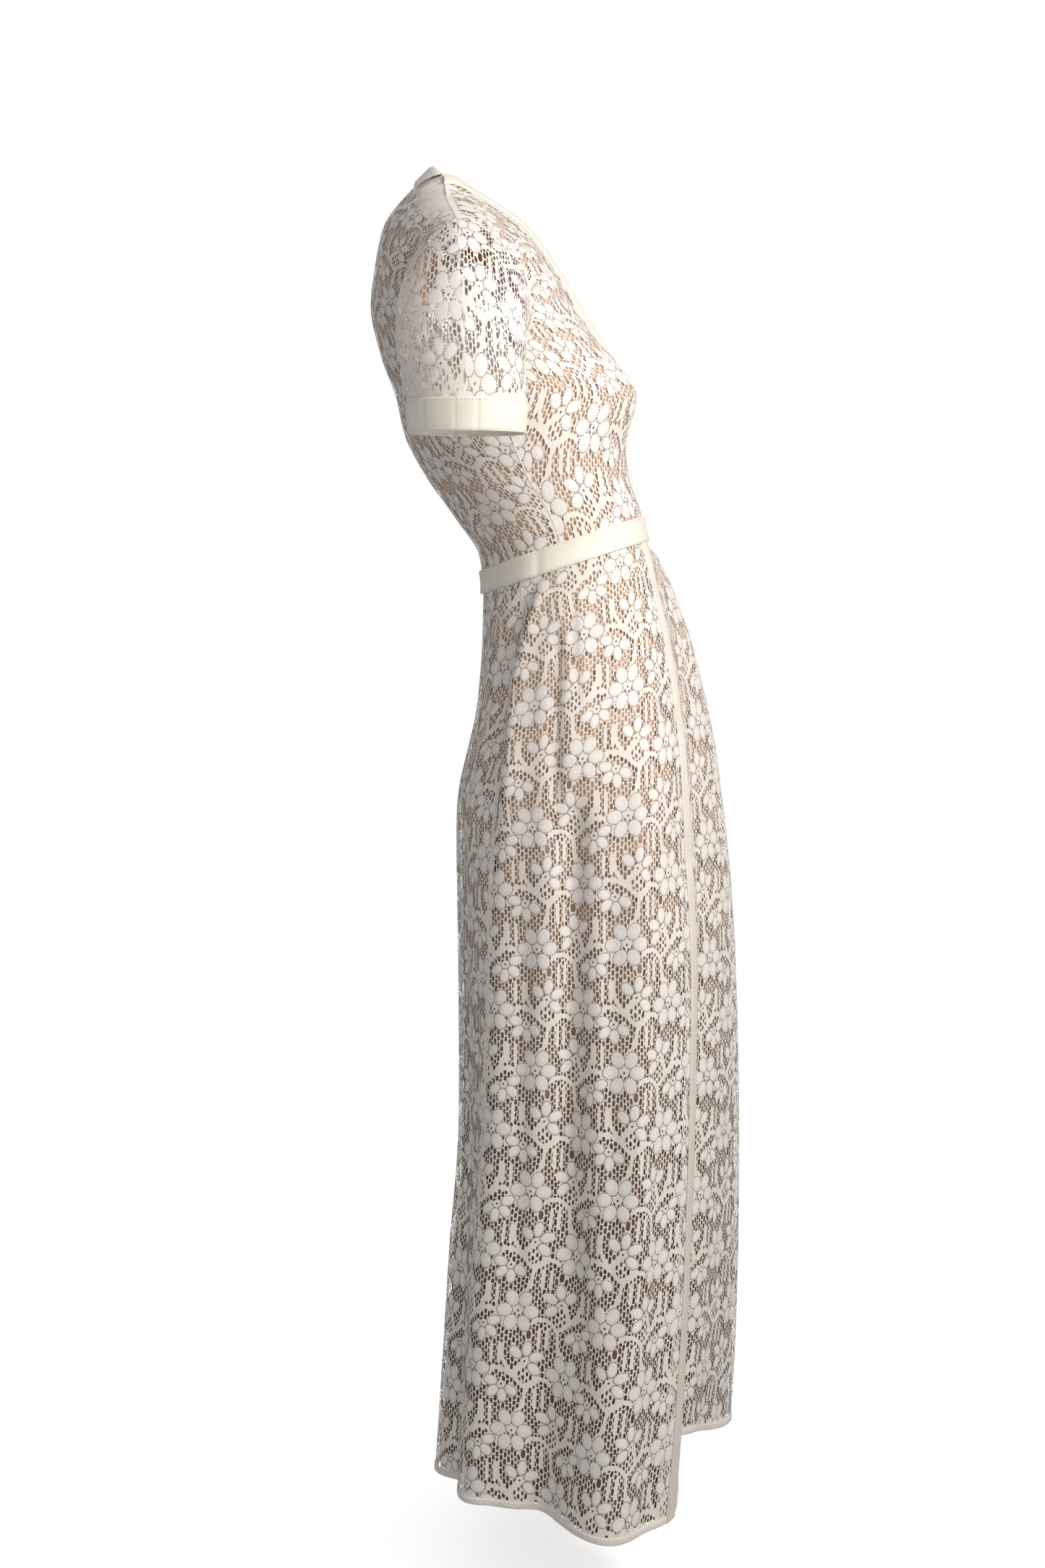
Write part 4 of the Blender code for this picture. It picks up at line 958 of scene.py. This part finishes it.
def lace_material(name, colour, shade):
    made, tree, shader = nodes_of(name)
    m = Maths(tree)
    x, y = m.fabric()
    number = m.do("FLOOR", m.mul(x, 1 / LACE_COLUMN_MM))
    odd = m.do("FLOORED_MODULO", number, 2.0)
    inside = m.sub(x, m.mul(number, LACE_COLUMN_MM))
    across = m.add(inside, m.mul(odd, m.sub(LACE_COLUMN_MM, m.mul(inside, 2.0))))
    across = m.sub(across, FLOWER_IN_COLUMN[0])
    down = m.sub(m.sub(y, FLOWER_IN_COLUMN[1]), m.mul(odd, LACE_PERIOD_MM / 2))
    one, one_away, _, one_pins = flower_distance(m, across, down, FLOWERS[0])
    two, two_away, _, two_pins = flower_distance(m, across, down, FLOWERS[1])
    over = m.sub(2 * (LACE_COLUMN_MM - FLOWER_IN_COLUMN[0]), across)
    three, three_away, _, three_pins = flower_distance(m, over, m.sub(down, LACE_PERIOD_MM / 2), FLOWERS[1])
    large, large_away, large_aside, large_pins = flower_distance(m, across, down, FLOWERS[2])
    small = m.least(m.least(one, two), three)
    petal = m.least(small, large)
    eye = m.least(m.least(one_away, two_away), three_away)
    pins = m.do("MAXIMUM", m.do("MAXIMUM", one_pins, two_pins), m.do("MAXIMUM", three_pins, large_pins))
    eyes = m.do("LESS_THAN", m.least(eye, large_away), 1.05)
    gaps = m.do("MAXIMUM", pins, eyes)
    m.put(shader.inputs["Alpha"], m.sub(1.0, gaps))
    place = m.object_place()
    patch = m.noise(place, 22.0, 3.0)
    speck = m.noise(place, 1400.0, 2.0)
    body = m.mix(m.fade(patch, 0.35, 0.7), colour, shade)
    bloom = m.fade(petal, -3.0, -0.3, 0.85, 0.0)
    body = m.mix(bloom, body, PETAL_COLOUR)
    # painted shade: a dark ring on the thread along each petal's edge, where the pinholes show shade
    pinhole_shade = m.fade(m.do("ABSOLUTE", m.add(petal, 0.15)), 0.15, 0.55, 0.30, 0.0)
    body = m.mix(pinhole_shade, body, PINHOLE_SHADE_COLOUR)
    stripes = m.fade(m.do("SINE", m.mul(large_aside, 22.0)), -0.6, 0.6, 0.0, 0.22)
    stripes = m.mul(stripes, m.fade(large, -1.6, -0.8, 1.0, 0.0))
    body = m.mix(stripes, body, STRIPE_COLOUR)
    spot = m.fade(m.do("ABSOLUTE", m.sub(large_away, FLOWERS[2][5])), 0.6, 1.8, 0.8, 0.0)
    spot = m.mul(spot, m.fade(m.do("ABSOLUTE", large_aside), 0.10, 0.30, 1.0, 0.0))
    body = m.mix(spot, body, SPOT_COLOUR)
    body = m.mix(m.fade(speck, 0.30, 0.55, 0.30, 0.0), body, SPECK_COLOUR)
    m.put(shader.inputs["Base Color"], body)
    ribs = m.mul(m.do("SINE", m.mul(x, 2 * math.pi / 1.05)), 0.12)
    courses = m.mul(m.do("SINE", m.mul(y, 2 * math.pi / 0.9)), 0.08)
    height = m.add(m.add(ribs, courses), m.mul(speck, 0.5))
    height = m.add(height, m.fade(petal, -3.0, 0.3, 0.9, 0.0))
    m.put(shader.inputs["Normal"], m.bump(height, 0.55, 0.0006))
    m.set(shader, {"Roughness": 0.88, "Specular IOR Level": 0.25, "Sheen Weight": 0.18, "Sheen Roughness": 0.5})
    return made


def cloth_material(name, colour, shade, weave, bump, roughness, sheen=0.1, low=None):
    """Plain woven cloth: two crossing sets of threads on the fabric's own measure. low is a darker colour painted in
    toward the hem: painted shade.
    """
    made, tree, shader = nodes_of(name)
    m = Maths(tree)
    x, y = m.fabric()
    warp = m.do("SINE", m.mul(x, 2 * math.pi / weave))
    weft = m.do("SINE", m.mul(y, 2 * math.pi / weave))
    threads = m.mul(m.add(warp, weft), 0.25)
    place = m.object_place()
    patch = m.noise(place, 30.0, 3.0)
    speck = m.noise(place, 1800.0, 2.0)
    body = m.mix(m.fade(patch, 0.3, 0.75), colour, shade)
    dark = tuple(part * 0.72 for part in shade[:3]) + (1.0,)
    body = m.mix(m.mul(m.fade(threads, -0.5, 0.1, 1.0, 0.0), 0.35), body, dark)
    # painted shade: from the upper height down, the colour darkens to low toward the hem
    if low:
        body = m.mix(m.fade(m.parts(place)[2], *PAINTED_SHADE_HEIGHTS, 1.0, 0.0), body, low)
    m.put(shader.inputs["Base Color"], body)
    m.put(shader.inputs["Normal"], m.bump(m.add(threads, m.mul(speck, 0.5)), bump, 0.0004))
    m.set(shader, {"Roughness": roughness, "Sheen Weight": sheen, "Sheen Roughness": 0.45})
    return made


LACE = lace_material("lace", (0.90, 0.83, 0.76, 1.0), (0.84, 0.77, 0.70, 1.0))
# the band's low colour is painted shade, darkening the front ribbon toward the hem
BAND = cloth_material(
    "band", (0.93, 0.87, 0.76, 1.0), (0.88, 0.80, 0.68, 1.0), 0.8, 0.25, 0.58, 0.25, low=(0.74, 0.66, 0.58, 1.0)
)
PLAIN_LACE = cloth_material("plain_lace", (0.90, 0.83, 0.76, 1.0), (0.83, 0.76, 0.69, 1.0), 1.1, 0.5, 0.88)
# the lining's low colour is painted shade, darkening the lining seen through the lower skirt's gaps
LINING = cloth_material(
    "lining", (0.70, 0.50, 0.36, 1.0), (0.64, 0.44, 0.31, 1.0), 0.6, 0.3, 0.7, low=(0.24, 0.14, 0.095, 1.0)
)
THREAD = cloth_material("thread", (0.90, 0.84, 0.74, 1.0), (0.84, 0.76, 0.66, 1.0), 0.5, 0.4, 0.6)


def grid_faces(rows, columns, closed=False):
    index = np.arange(rows * columns).reshape(rows, columns)
    if closed:
        index = np.concatenate([index, index[:, :1]], axis=1)
    return np.stack([index[:-1, :-1], index[:-1, 1:], index[1:, 1:], index[1:, :-1]], axis=-1).reshape(-1, 4)


def grid_mesh(name, points, shape, material, bake, fabric, closed=False):
    faces = grid_faces(*shape, closed)
    return new_mesh(name, points.reshape(-1, 3), [faces], material, {"OFBake": bake, "fabric": fabric})


def cloth_grid(name, cloth, across_share, down_mm, out, material):
    """A plain sheet over a cloth, by shares of its width and places down it."""
    down = np.repeat(down_mm[:, None], len(across_share), axis=1)
    left, right = cloth.edges(down)
    across = left + (right - left) * across_share[None, :]
    points, _ = cloth.place(across.ravel(), down.ravel(), out)
    fabric = fabric_map(across, down)
    width = cloth.right.max() - cloth.left.min()
    bake = np.stack([(across.ravel() - cloth.left.min()) / width, 1 - down.ravel() / cloth.down[-1]], axis=1)
    return grid_mesh(name, points, down.shape, material, bake, fabric)


def finish_piece(piece, *nodes, slot):
    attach(piece, "root")
    if nodes:
        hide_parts(*nodes)
    return piece


def cut(cloth):
    """Width, length and flat area of a cloth, in metres."""
    width = (cloth.right - cloth.left) * MM
    length = cloth.down[-1] * MM
    area = np.trapz(width, cloth.down * MM)
    return float(width.max()), float(length), float(area)


def lace_panel(node, cloth, **options):
    piece, gaps = lace_piece(node + "_lace", cloth, LACE, **options)
    finish_piece(piece, node, slot="lace")
    width, length, area = cut(cloth)
    min(area, width * length) - gaps
    return piece


def lining_panel(node, cloth, first, last):
    down = np.linspace(first, cloth.down[-1] - last, 120)
    piece = cloth_grid(node + "_cloth", cloth, np.linspace(0.003, 0.997, 50), down, -0.5 * MM, LINING)
    finish_piece(piece, node, slot="lining")
    width, length, area = cut(cloth)
    min(area, width * length)
    return piece


SKIRT_PANELS = ("front_right", "back_right", "back_left", "front_left")
SKIRT_CLOTH = {}
for number, name in enumerate(SKIRT_PANELS):
    SKIRT_CLOTH[name] = skirt_cloth(number, lapped=name == "front_left")
    lace_panel(f"skirt_{name}", SKIRT_CLOTH[name], solid=(9.0, 7.0, 2.0))
    lining_end = (WAIST_SEAM_HEIGHT - LINING_HEM_HEIGHT + LINING_OVER_SOLID) / SKIRT_LENGTH
    lining_cloth = skirt_cloth(number, depth=SKIRT_LINING_DEPTH, last_level=lining_end)
    lining_panel(f"lining_skirt_{name}", lining_cloth, 5.0, 0.0)

BACK_CLOTH = back_cloth()
lace_panel("bodice_back", BACK_CLOTH, solid=(6.0, 9.0, 0.8))
lining_panel("lining_back", back_cloth(BODICE_LINING_DEPTH), 17.0, 5.0)
FRONT_CLOTH = {}
for side in ("right", "left"):
    FRONT_CLOTH[side] = front_cloth(side)
    lace_panel(f"bodice_front_{side}", FRONT_CLOTH[side], solid=(4.0, 9.0, 0.8))
    lining_panel(f"lining_front_{side}", front_cloth(side, BODICE_LINING_DEPTH), 5.0, 5.0)
    for half in ("front", "back"):
        lace_panel(f"sleeve_{half}_{side}", sleeve_cloth(side, half), solid=(1.0, 0.6, 0.3))


# Bands: across the band, and how far its face stands out
def band_profile(width, low, high, crown=0.25):
    """Places across a band in mm, and its height over the cloth, from one turned edge to the other."""
    return (
        (0.0, low),
        (0.0, low + (high - low) * 0.6),
        (0.5, high - 0.1),
        (1.6, high),
        (width * 0.3, high + crown),
        (width * 0.7, high + crown),
        (width - 1.6, high),
        (width - 0.5, high - 0.1),
        (width, low + (high - low) * 0.6),
        (width, low),
    )


def ripple(down, seed):
    """A soft uneven ripple along a band, in mm."""
    return (
        0.16 * np.sin(down / 23.0 + seed)
        + 0.12 * np.sin(down / 9.7 + 2.3 * seed)
        + 0.10 * np.sin(down / 41.0 + 0.7 * seed) * np.sin(down / 5.3)
    )


def band_on(name, cloth, first, profile, down, seed):
    """A band that runs down a cloth, with its first edge at a place across."""
    across = np.repeat(np.array([[first + place for place, _ in profile]]), len(down), axis=0)
    height = np.repeat(np.array([[high for _, high in profile]]), len(down), axis=0)
    inner = np.array([0.0, 0.5, 1, 1, 1, 1, 1, 1, 0.5, 0.0])
    height = height + inner[None, :] * ripple(down, seed)[:, None]
    lower = np.repeat(down[:, None], len(profile), axis=1)
    points, _ = cloth.place(across.ravel(), lower.ravel(), height.ravel() * MM)
    fabric = fabric_map(across, lower)
    bake = np.stack([across.ravel() - first, lower.ravel()], axis=1) / max(down[-1], 1.0)
    return grid_mesh(name, points, lower.shape, BAND, bake, fabric)


def ring_band(name, rows, normals, heights, seed, dents=()):
    """A closed band from rows of points round it. heights is each row's height in mm, dents its upright creases."""
    count = rows.shape[1]
    length = lengths_along(rows[len(rows) // 2])[-1] / MM
    round_it = np.linspace(0, length, count, endpoint=False)
    wave = 0.9 * ripple(round_it, seed) * np.cos(np.linspace(0, 2 * math.pi, count)) ** 2
    for share, half, deep in dents:
        away = (round_it - share * length + length / 2) % length - length / 2
        wave = wave - deep * np.exp(-((away / half) ** 2))
    inner = from_ends(len(rows), 2)
    height = np.array(heights)[:, None] + inner[:, None] * wave[None, :]
    points = rows + normals * height[..., None] * MM
    down = lengths_along(points[:, 0]) / MM
    across = np.repeat(round_it[None, :], len(rows), axis=0)
    down = np.repeat(down[:, None], count, axis=1)
    fabric = fabric_map(across, down)
    bake = np.stack([across.ravel(), down.ravel()], axis=1) / length
    return grid_mesh(name, points, down.shape, BAND, bake, fabric, closed=True)


STITCH = ((-1.0, 0, 0), (0, 1, 0), (0, 0, 1), (0, -1, 0), (0, 0, -1), (1.0, 0, 0))
CORD_SIDES = 6
STITCH_FACES = ((0, 1, 2), (0, 2, 3), (0, 3, 4), (0, 4, 1), (5, 2, 1), (5, 3, 2), (5, 4, 3), (5, 1, 4))


def sewn_mesh(name, points, uvs, faces, material):
    """One mesh from the parts of many stitches or seams."""
    uv = np.concatenate(uvs)
    bake = (uv - uv.min(axis=0)) / max(np.ptp(uv), 1e-6)
    return new_mesh(name, np.concatenate(points), [np.concatenate(faces)], material, {"OFBake": bake, "fabric": uv})


def stitches(name, paths, length=2.6, gap=0.9, thick=0.3):
    """Separate stitches along paths of points and normals."""
    all_points, all_uvs, faces, base = [], [], [], 0
    for path, facing in paths:
        points, uvs = [], []
        far = lengths_along(path) / MM
        count = int(far[-1] / (length + gap))
        centres = (np.arange(count) + 0.5) * far[-1] / count
        spots = along_path(centres, far, path)
        along = unit(along_path(centres + 0.5, far, path) - along_path(centres - 0.5, far, path))
        up = unit(along_path(centres, far, facing))
        side = unit(np.cross(along, up))
        for x, y, z in STITCH:
            points.append(spots + (along * x * length / 2 + side * y * thick + up * z * thick) * MM)
            uvs.append(np.stack([centres / 100 + x * 0.01, np.full(count, y * 0.005 + z * 0.003)], axis=1))
        starts = base + len(STITCH) * np.arange(count)
        faces.append((starts[:, None, None] + np.array(STITCH_FACES)[None]).reshape(-1, 3))
        all_points.append(np.stack(points, axis=1).reshape(-1, 3))
        all_uvs.append(np.stack(uvs, axis=1).reshape(-1, 2))
        base += len(STITCH) * count
    return sewn_mesh(name, all_points, all_uvs, faces, THREAD)


def cord(name, paths, wide, high, material):
    """Low rounded ridges along paths of points and normals, such as seams. Sizes are half sizes in mm."""
    angles = np.linspace(0, 2 * math.pi, CORD_SIDES, endpoint=False)
    all_points, all_uvs, faces, base = [], [], [], 0
    for path, facing in paths:
        along = unit(np.gradient(path, axis=0))
        side = unit(np.cross(along, facing))
        round_side = side[:, None] * (wide * np.cos(angles))[None, :, None]
        round_up = facing[:, None] * (high * np.sin(angles))[None, :, None]
        ring = path[:, None] + MM * (round_side + round_up)
        far = np.repeat((lengths_along(path) / MM)[:, None], CORD_SIDES, axis=1)
        round_it = np.repeat(np.arange(CORD_SIDES)[None, :] * 1.0, len(path), axis=0)
        all_points.append(ring.reshape(-1, 3))
        all_uvs.append(fabric_map(round_it, far))
        faces.append(base + grid_faces(len(path), CORD_SIDES, closed=True))
        base += len(path) * CORD_SIDES
    return sewn_mesh(name, all_points, all_uvs, faces, material)


def path_on(cloth, across, down, out):
    """Points and normals along a line down a cloth, at one place across it."""
    return cloth.place(np.full(len(down), float(across)), down, out * MM)


def across_band(name, cloth, down_mm, heights, columns, margin, seed):
    """A band that runs across a cloth. down_mm and heights give its profile."""
    down = np.repeat(down_mm[:, None], columns, axis=1)
    left, right = cloth.edges(down)
    share = np.linspace(0, 1, columns)[None, :]
    across = (left + margin) + (right - left - 2 * margin) * share
    inner = from_ends(len(down_mm), 2)
    height = heights[:, None] + inner[:, None] * ripple(across[len(down_mm) // 2], seed)[None, :]
    points, _ = cloth.place(across.ravel(), down.ravel(), height.ravel() * MM)
    fabric = fabric_map(down, across)
    bake = np.stack([across.ravel() - across.min(), down.ravel()], axis=1) / np.ptp(across)
    return grid_mesh(name, points, down.shape, BAND, bake, fabric)


def band_top(azimuths):
    """Points of the bodice half a waistband above the waist seam, at the wanted azimuths."""
    parts = np.linspace(0, 1, 121)
    found = []
    for facing in (-1, 1):
        low = bodice_form(np.zeros_like(parts), parts, facing)
        high = bodice_form(np.full_like(parts, 0.045), parts, facing)
        share = WAISTBAND_HEIGHT / 2 / (high - low)[:, 2:]
        right = low + (high - low) * share
        found += [right, mirrored(right)]
    points = np.concatenate(found)
    places = np.degrees(np.arctan2(-points[:, 0], -points[:, 1]))
    order = np.argsort(places)
    places, points = places[order], points[order]
    return along_path(azimuths, places, points, period=360)


def between(rows, shares):
    """Rows blended between the first, middle and last of three."""
    places = shares * 2
    low = np.minimum(places.astype(int), 1)
    rest = (places - low)[:, None, None]
    return rows[low] * (1 - rest) + rows[low + 1] * rest


def finer(ring):
    """A ring with four times as many points."""
    count = len(ring)
    fine = np.linspace(0, 1, 4 * count + 1)[:-1] * count
    return along_path(fine, np.arange(count + 1), joined(ring))


def ring_sewing(name, lines):
    """Stitches round a closed band, along rings of points and normals."""
    finish_piece(stitches(name, [(joined(line), joined(facing)) for line, facing in lines]), slot="band")


class Edge:
    """A cloth measured from its first edge."""

    def __init__(self, cloth):
        self.cloth = cloth

    def place(self, across, down, out=0.0):
        return self.cloth.place(across + self.cloth.edges(down)[0], down, out)


# Profiles of the bands: places in mm or shares of the width, and heights over the cloth in mm
BAND_LOW, BAND_HIGH = -0.4, 2.2
STITCHES_OUT = 0.28
STITCH_SHARES = (0.07, 0.93)
NECK_DOWN = np.array([0.15, 0.15, 0.6, 1.6, 5.0, 9.0, 12.0, 15.2, 16.4, 16.9, 16.9])
NECK_HEIGHTS = np.array([BAND_LOW, 1.7, 2.1, 2.2, 2.45, 2.5, 2.4, 2.2, 2.1, 1.7, BAND_LOW])
WAIST_SHARES = np.array([0.0, 0.0, 0.02, 0.06, 0.2, 0.35, 0.5, 0.65, 0.8, 0.94, 0.98, 1.0, 1.0])
WAIST_HEIGHTS = (BAND_LOW, 1.8, 2.15, 2.3, 2.5, 2.6, 2.6, 2.6, 2.5, 2.3, 2.15, 1.8, BAND_LOW)
WAIST_STITCHES_OUT = 2.75
CUFF_SHARES = np.array([1.0, 0.6, 0.0, 0.0, 0.015, 0.05, 0.2, 0.4, 0.6, 0.8, 0.95, 0.985, 1.0, 1.0, 0.6])
CUFF_HEIGHTS = (-1.1, -1.1, -1.1, 0.1, 0.5, 0.7, 0.9, 1.0, 1.0, 0.9, 0.7, 0.5, 0.1, -1.1, -1.3)
HEM_UP = np.array([7.0, 6.8, 4.0, 1.0, 0.2, 0.0, 0.0, 3.0, 6.5])
HEM_HEIGHTS = np.array([-0.5, 0.25, 0.5, 0.5, 0.2, -0.4, -1.0, -1.6, -1.5])
# upright creases of a ring: share of the way round, half width in mm, depth in mm
WAIST_DENTS = (
    (0.222, 5.0, 0.9),
    (0.245, 9.0, -0.5),
    (0.13, 3.0, 0.4),
    (0.40, 6.0, 0.8),
    (0.62, 7.0, 0.7),
    (0.80, 5.0, 0.8),
)
CUFF_DENTS = tuple(
    (0.03 + 0.083 * number + 0.012 * (number % 3), 1.8 + 0.5 * (number % 2), 0.30 + 0.12 * (number % 3))
    for number in range(12)
)

# Neck binding
binding_paths = []
for side in ("right", "left"):
    cloth = FRONT_CLOTH[side]
    down = np.linspace(0.3, cloth.down[-1] - 10.0, 150)
    profile = band_profile(16.8, BAND_LOW, BAND_HIGH)
    piece = band_on(f"neck_binding_{side}_band", cloth, 0.15, profile, down, 1.0 if side == "right" else 2.2)
    finish_piece(piece, f"neck_binding_{side}", slot="band")
    for across in (1.9, 15.0):
        binding_paths.append(path_on(cloth, across, down, BAND_HIGH + STITCHES_OUT))
neck_share = NECK_POINT_SIDE / SHOULDER_TIP_SIDE
neck_half = bodice_grid(1, np.linspace(1, 0.9, 40), np.linspace(0, neck_share, 40))
neck_points = np.concatenate([neck_half[:, ::-1], mirrored(neck_half)[:, 1:]], axis=1)
neck_cloth = Cloth(neck_points, outward_normals(neck_points, torso_centre(neck_points)), 39, 120)
piece = across_band("neck_binding_back_band", neck_cloth, NECK_DOWN, NECK_HEIGHTS, 90, 0.2, 3.1)
finish_piece(piece, "neck_binding_back", slot="band")
neck_line = np.linspace(neck_cloth.left.max() + 1, neck_cloth.right.min() - 1, 80)
for down in (1.9, 15.0):
    binding_paths.append(neck_cloth.place(neck_line, np.full(80, down), (BAND_HIGH + STITCHES_OUT) * MM))
finish_piece(stitches("neck_binding_sewing", binding_paths), slot="band")


# Waistband
ring_shares = np.linspace(0, 1, 480, endpoint=False)
seam_ring = skirt_row(0.0, ring_shares)
low_ring = skirt_row(WAISTBAND_HEIGHT / 2 / SKIRT_LENGTH, ring_shares)
top_ring = band_top(np.degrees(np.arctan2(-seam_ring[:, 0], -seam_ring[:, 1])))
band_rows = np.stack([top_ring, seam_ring, low_ring])
ring_centre = band_rows.mean(axis=1, keepdims=True)
wrapped = np.concatenate([band_rows[:, -1:], band_rows, band_rows[:, :1]], axis=1)
band_normals = outward_normals(wrapped, ring_centre)[:, 1:-1]
waist_rows = between(band_rows, WAIST_SHARES)
waist_normals = unit(between(band_normals, WAIST_SHARES))
piece = ring_band("waistband_ribbon", waist_rows, waist_normals, WAIST_HEIGHTS, 4.0, WAIST_DENTS)
finish_piece(piece, "waistband", slot="band")
facings = unit(between(band_normals, np.array(STITCH_SHARES)))
lines = between(band_rows, np.array(STITCH_SHARES)) + facings * WAIST_STITCHES_OUT * MM
ring_sewing("waistband_sewing", zip(lines, facings))

# Cuffs
for side in ("right", "left"):
    top = turned(SLEEVE[-1, :-1], side)
    facing = unit(turned(SLEEVE_NORMALS[-1, :-1] * AXIS_LEVEL, side))
    centre = turned(np.array([-CUFF_SIDE, CUFF_DEPTH, CUFF_SEAM_HEIGHT]), side)
    bottom = centre + (top - centre) * np.array([CUFF_TAPER, CUFF_TAPER, 1.0]) - np.array([0, 0, CUFF_HEIGHT])
    top, bottom, facing = finer(top), finer(bottom), unit(finer(facing))
    shares = CUFF_SHARES[:, None, None]
    rows = top[None] * (1 - shares) + bottom[None] * shares
    normals = np.repeat(facing[None], len(shares), axis=0)
    seed = 5.0 if side == "right" else 6.5
    piece = ring_band(f"cuff_{side}_band", rows, normals, CUFF_HEIGHTS, seed, CUFF_DENTS)
    finish_piece(piece, f"cuff_{side}", slot="band")
    lines = [(top * (1 - share) + bottom * share + facing * MM, facing) for share in STITCH_SHARES]
    ring_sewing(f"cuff_{side}_sewing", lines)

# Front ribbon
cloth = SKIRT_CLOTH["front_right"]
down = np.linspace(WAISTBAND_HEIGHT / MM / 2 + 0.8, cloth.down[-1] - 0.3, 320)


edge = Edge(cloth)
piece = band_on("front_ribbon_band", edge, 0.2, band_profile(16.6, BAND_LOW, 1.8), down, 7.0)
finish_piece(piece, "front_ribbon", slot="band")
ribbon_paths = [path_on(edge, across, down, 2.1) for across in (1.8, 15.2)]
finish_piece(stitches("front_ribbon_sewing", ribbon_paths), slot="band")

# Turned hem, seams and their sewing
hem_paths = []
seam_paths = []
for name, cloth in SKIRT_CLOTH.items():
    length = cloth.down[-1]
    piece = across_band(f"hem_{name}", cloth, length - HEM_UP, HEM_HEIGHTS, 220, 0.2, 8.0)
    piece.data.materials[0] = PLAIN_LACE
    finish_piece(piece, slot="lace")
    line = np.linspace(cloth.left[-1] + 1, cloth.right[-1] - 1, 200)
    hem_paths.append(cloth.place(line, np.full(200, length - 5.9), 0.75 * MM))
    rows = np.linspace(14.0, length - 0.5, 200)
    if name != "front_right":
        seam_paths.append(cloth.place(cloth.edges(rows)[0] + 0.1, rows, -0.5 * MM))
finish_piece(stitches("hem_sewing", hem_paths, length=3.0, gap=1.2), slot="lace")
for side, cloth in FRONT_CLOTH.items():
    rows = np.linspace(0.2, cloth.down[-1] - 12.0, 160)
    seam_paths.append(cloth.place(cloth.edges(rows)[1] - 0.1, rows, -0.5 * MM))
    line = np.linspace(17.0, cloth.right[0] - 0.5, 60)
    seam_paths.append(cloth.place(line, np.full(60, 0.1), -0.5 * MM))
finish_piece(cord("seams", seam_paths, 0.8, 0.25, PLAIN_LACE), slot="lace")


# Stage, light and camera
FLOOR_HEIGHT = -1.42
FLOOR_HALF_SIZE = 14.0
FLOOR_LIGHT_STRENGTH = 2.3
# the room's light on the dress, from below and from above
ROOM_LIGHT = (0.32, 0.42)
CAMERA_PLACE = (-2.7, 0.043, -0.405)
CAMERA_PITCH_DEGREES = 4.3
CAMERA_LENS_MM = 3600.0 / 2168.0 * 36.0
# name, place, goal, watts, width and colour
LIGHTS = (
    ("key", (-1.0, -1.0, 0.35), (0.0, 0.0, -0.30), 23.0, 0.7, (1.0, 0.98, 0.95)),
    ("side fill", (-2.0, -0.3, -0.7), (0.0, 0.0, -0.8), 4.5, 0.8, (1.0, 0.97, 0.95)),
)


def stage_and_light():
    corners = ((-1, -1), (1, -1), (1, 1), (-1, 1))
    floor_points = [(FLOOR_HALF_SIZE * x, FLOOR_HALF_SIZE * y, FLOOR_HEIGHT) for x, y in corners]
    floor_material, _, shader = nodes_of("floor")
    shader.inputs["Base Color"].default_value = (0.92, 0.92, 0.92, 1.0)
    shader.inputs["Roughness"].default_value = 0.9
    floor = new_mesh("floor", np.array(floor_points), [np.array([[0, 1, 2, 3]])], floor_material)
    floor.visible_diffuse = False
    floor.visible_glossy = False
    only_floor = bpy.data.collections.new("only_floor")
    only_floor.objects.link(floor)
    above = bpy.data.lights.new("floor_light", "SUN")
    above.energy = FLOOR_LIGHT_STRENGTH
    above.use_shadow = False
    lamp = add_object("floor_light", above)
    lamp.light_linking.receiver_collection = only_floor
    world = bpy.data.worlds.new("studio")
    bpy.context.scene.world = world
    world.use_nodes = True
    world.node_tree.nodes["Background"].inputs["Color"].default_value = (1.0, 1.0, 1.0, 1.0)
    add_backdrop(world.node_tree)
    bpy.context.scene.view_settings.view_transform = "Standard"
    for name, place, goal, power, width, colour in LIGHTS:
        light = bpy.data.lights.new(name, "AREA")
        light.energy = power
        light.size = width
        light.color = colour
        aim(add_object(name, light), place, goal)
    camera = bpy.data.cameras.new("camera")
    camera.sensor_fit = "VERTICAL"
    camera.sensor_height = 36.0
    camera.lens = CAMERA_LENS_MM
    camera.clip_end = 60.0
    eye = add_object("camera", camera)
    x, y, z = CAMERA_PLACE
    aim(eye, CAMERA_PLACE, (x + 1.0, y, z - math.tan(math.radians(CAMERA_PITCH_DEGREES))))
    bpy.context.scene.camera = eye


def add_backdrop(tree):
    """The camera sees the studio's white backdrop, and the dress gets the dimmer room's light."""
    output = tree.nodes["World Output"]
    m = Maths(tree)
    height = m.parts(tree.nodes.new("ShaderNodeTexCoord").outputs["Generated"])[2]
    m.put(tree.nodes["Background"].inputs["Strength"], m.fade(height, -0.6, 0.3, *ROOM_LIGHT))
    white = tree.nodes.new("ShaderNodeBackground")
    white.inputs["Color"].default_value = (1.0, 1.0, 1.0, 1.0)
    mix = tree.nodes.new("ShaderNodeMixShader")
    path = tree.nodes.new("ShaderNodeLightPath")
    tree.links.new(path.outputs["Is Camera Ray"], mix.inputs[0])
    tree.links.new(tree.nodes["Background"].outputs[0], mix.inputs[1])
    tree.links.new(white.outputs[0], mix.inputs[2])
    tree.links.new(mix.outputs[0], output.inputs["Surface"])


def aim(thing, place, goal):
    thing.location = place
    direction = Vector(goal) - Vector(place)
    thing.rotation_euler = direction.to_track_quat("-Z", "Y").to_euler()


stage_and_light()
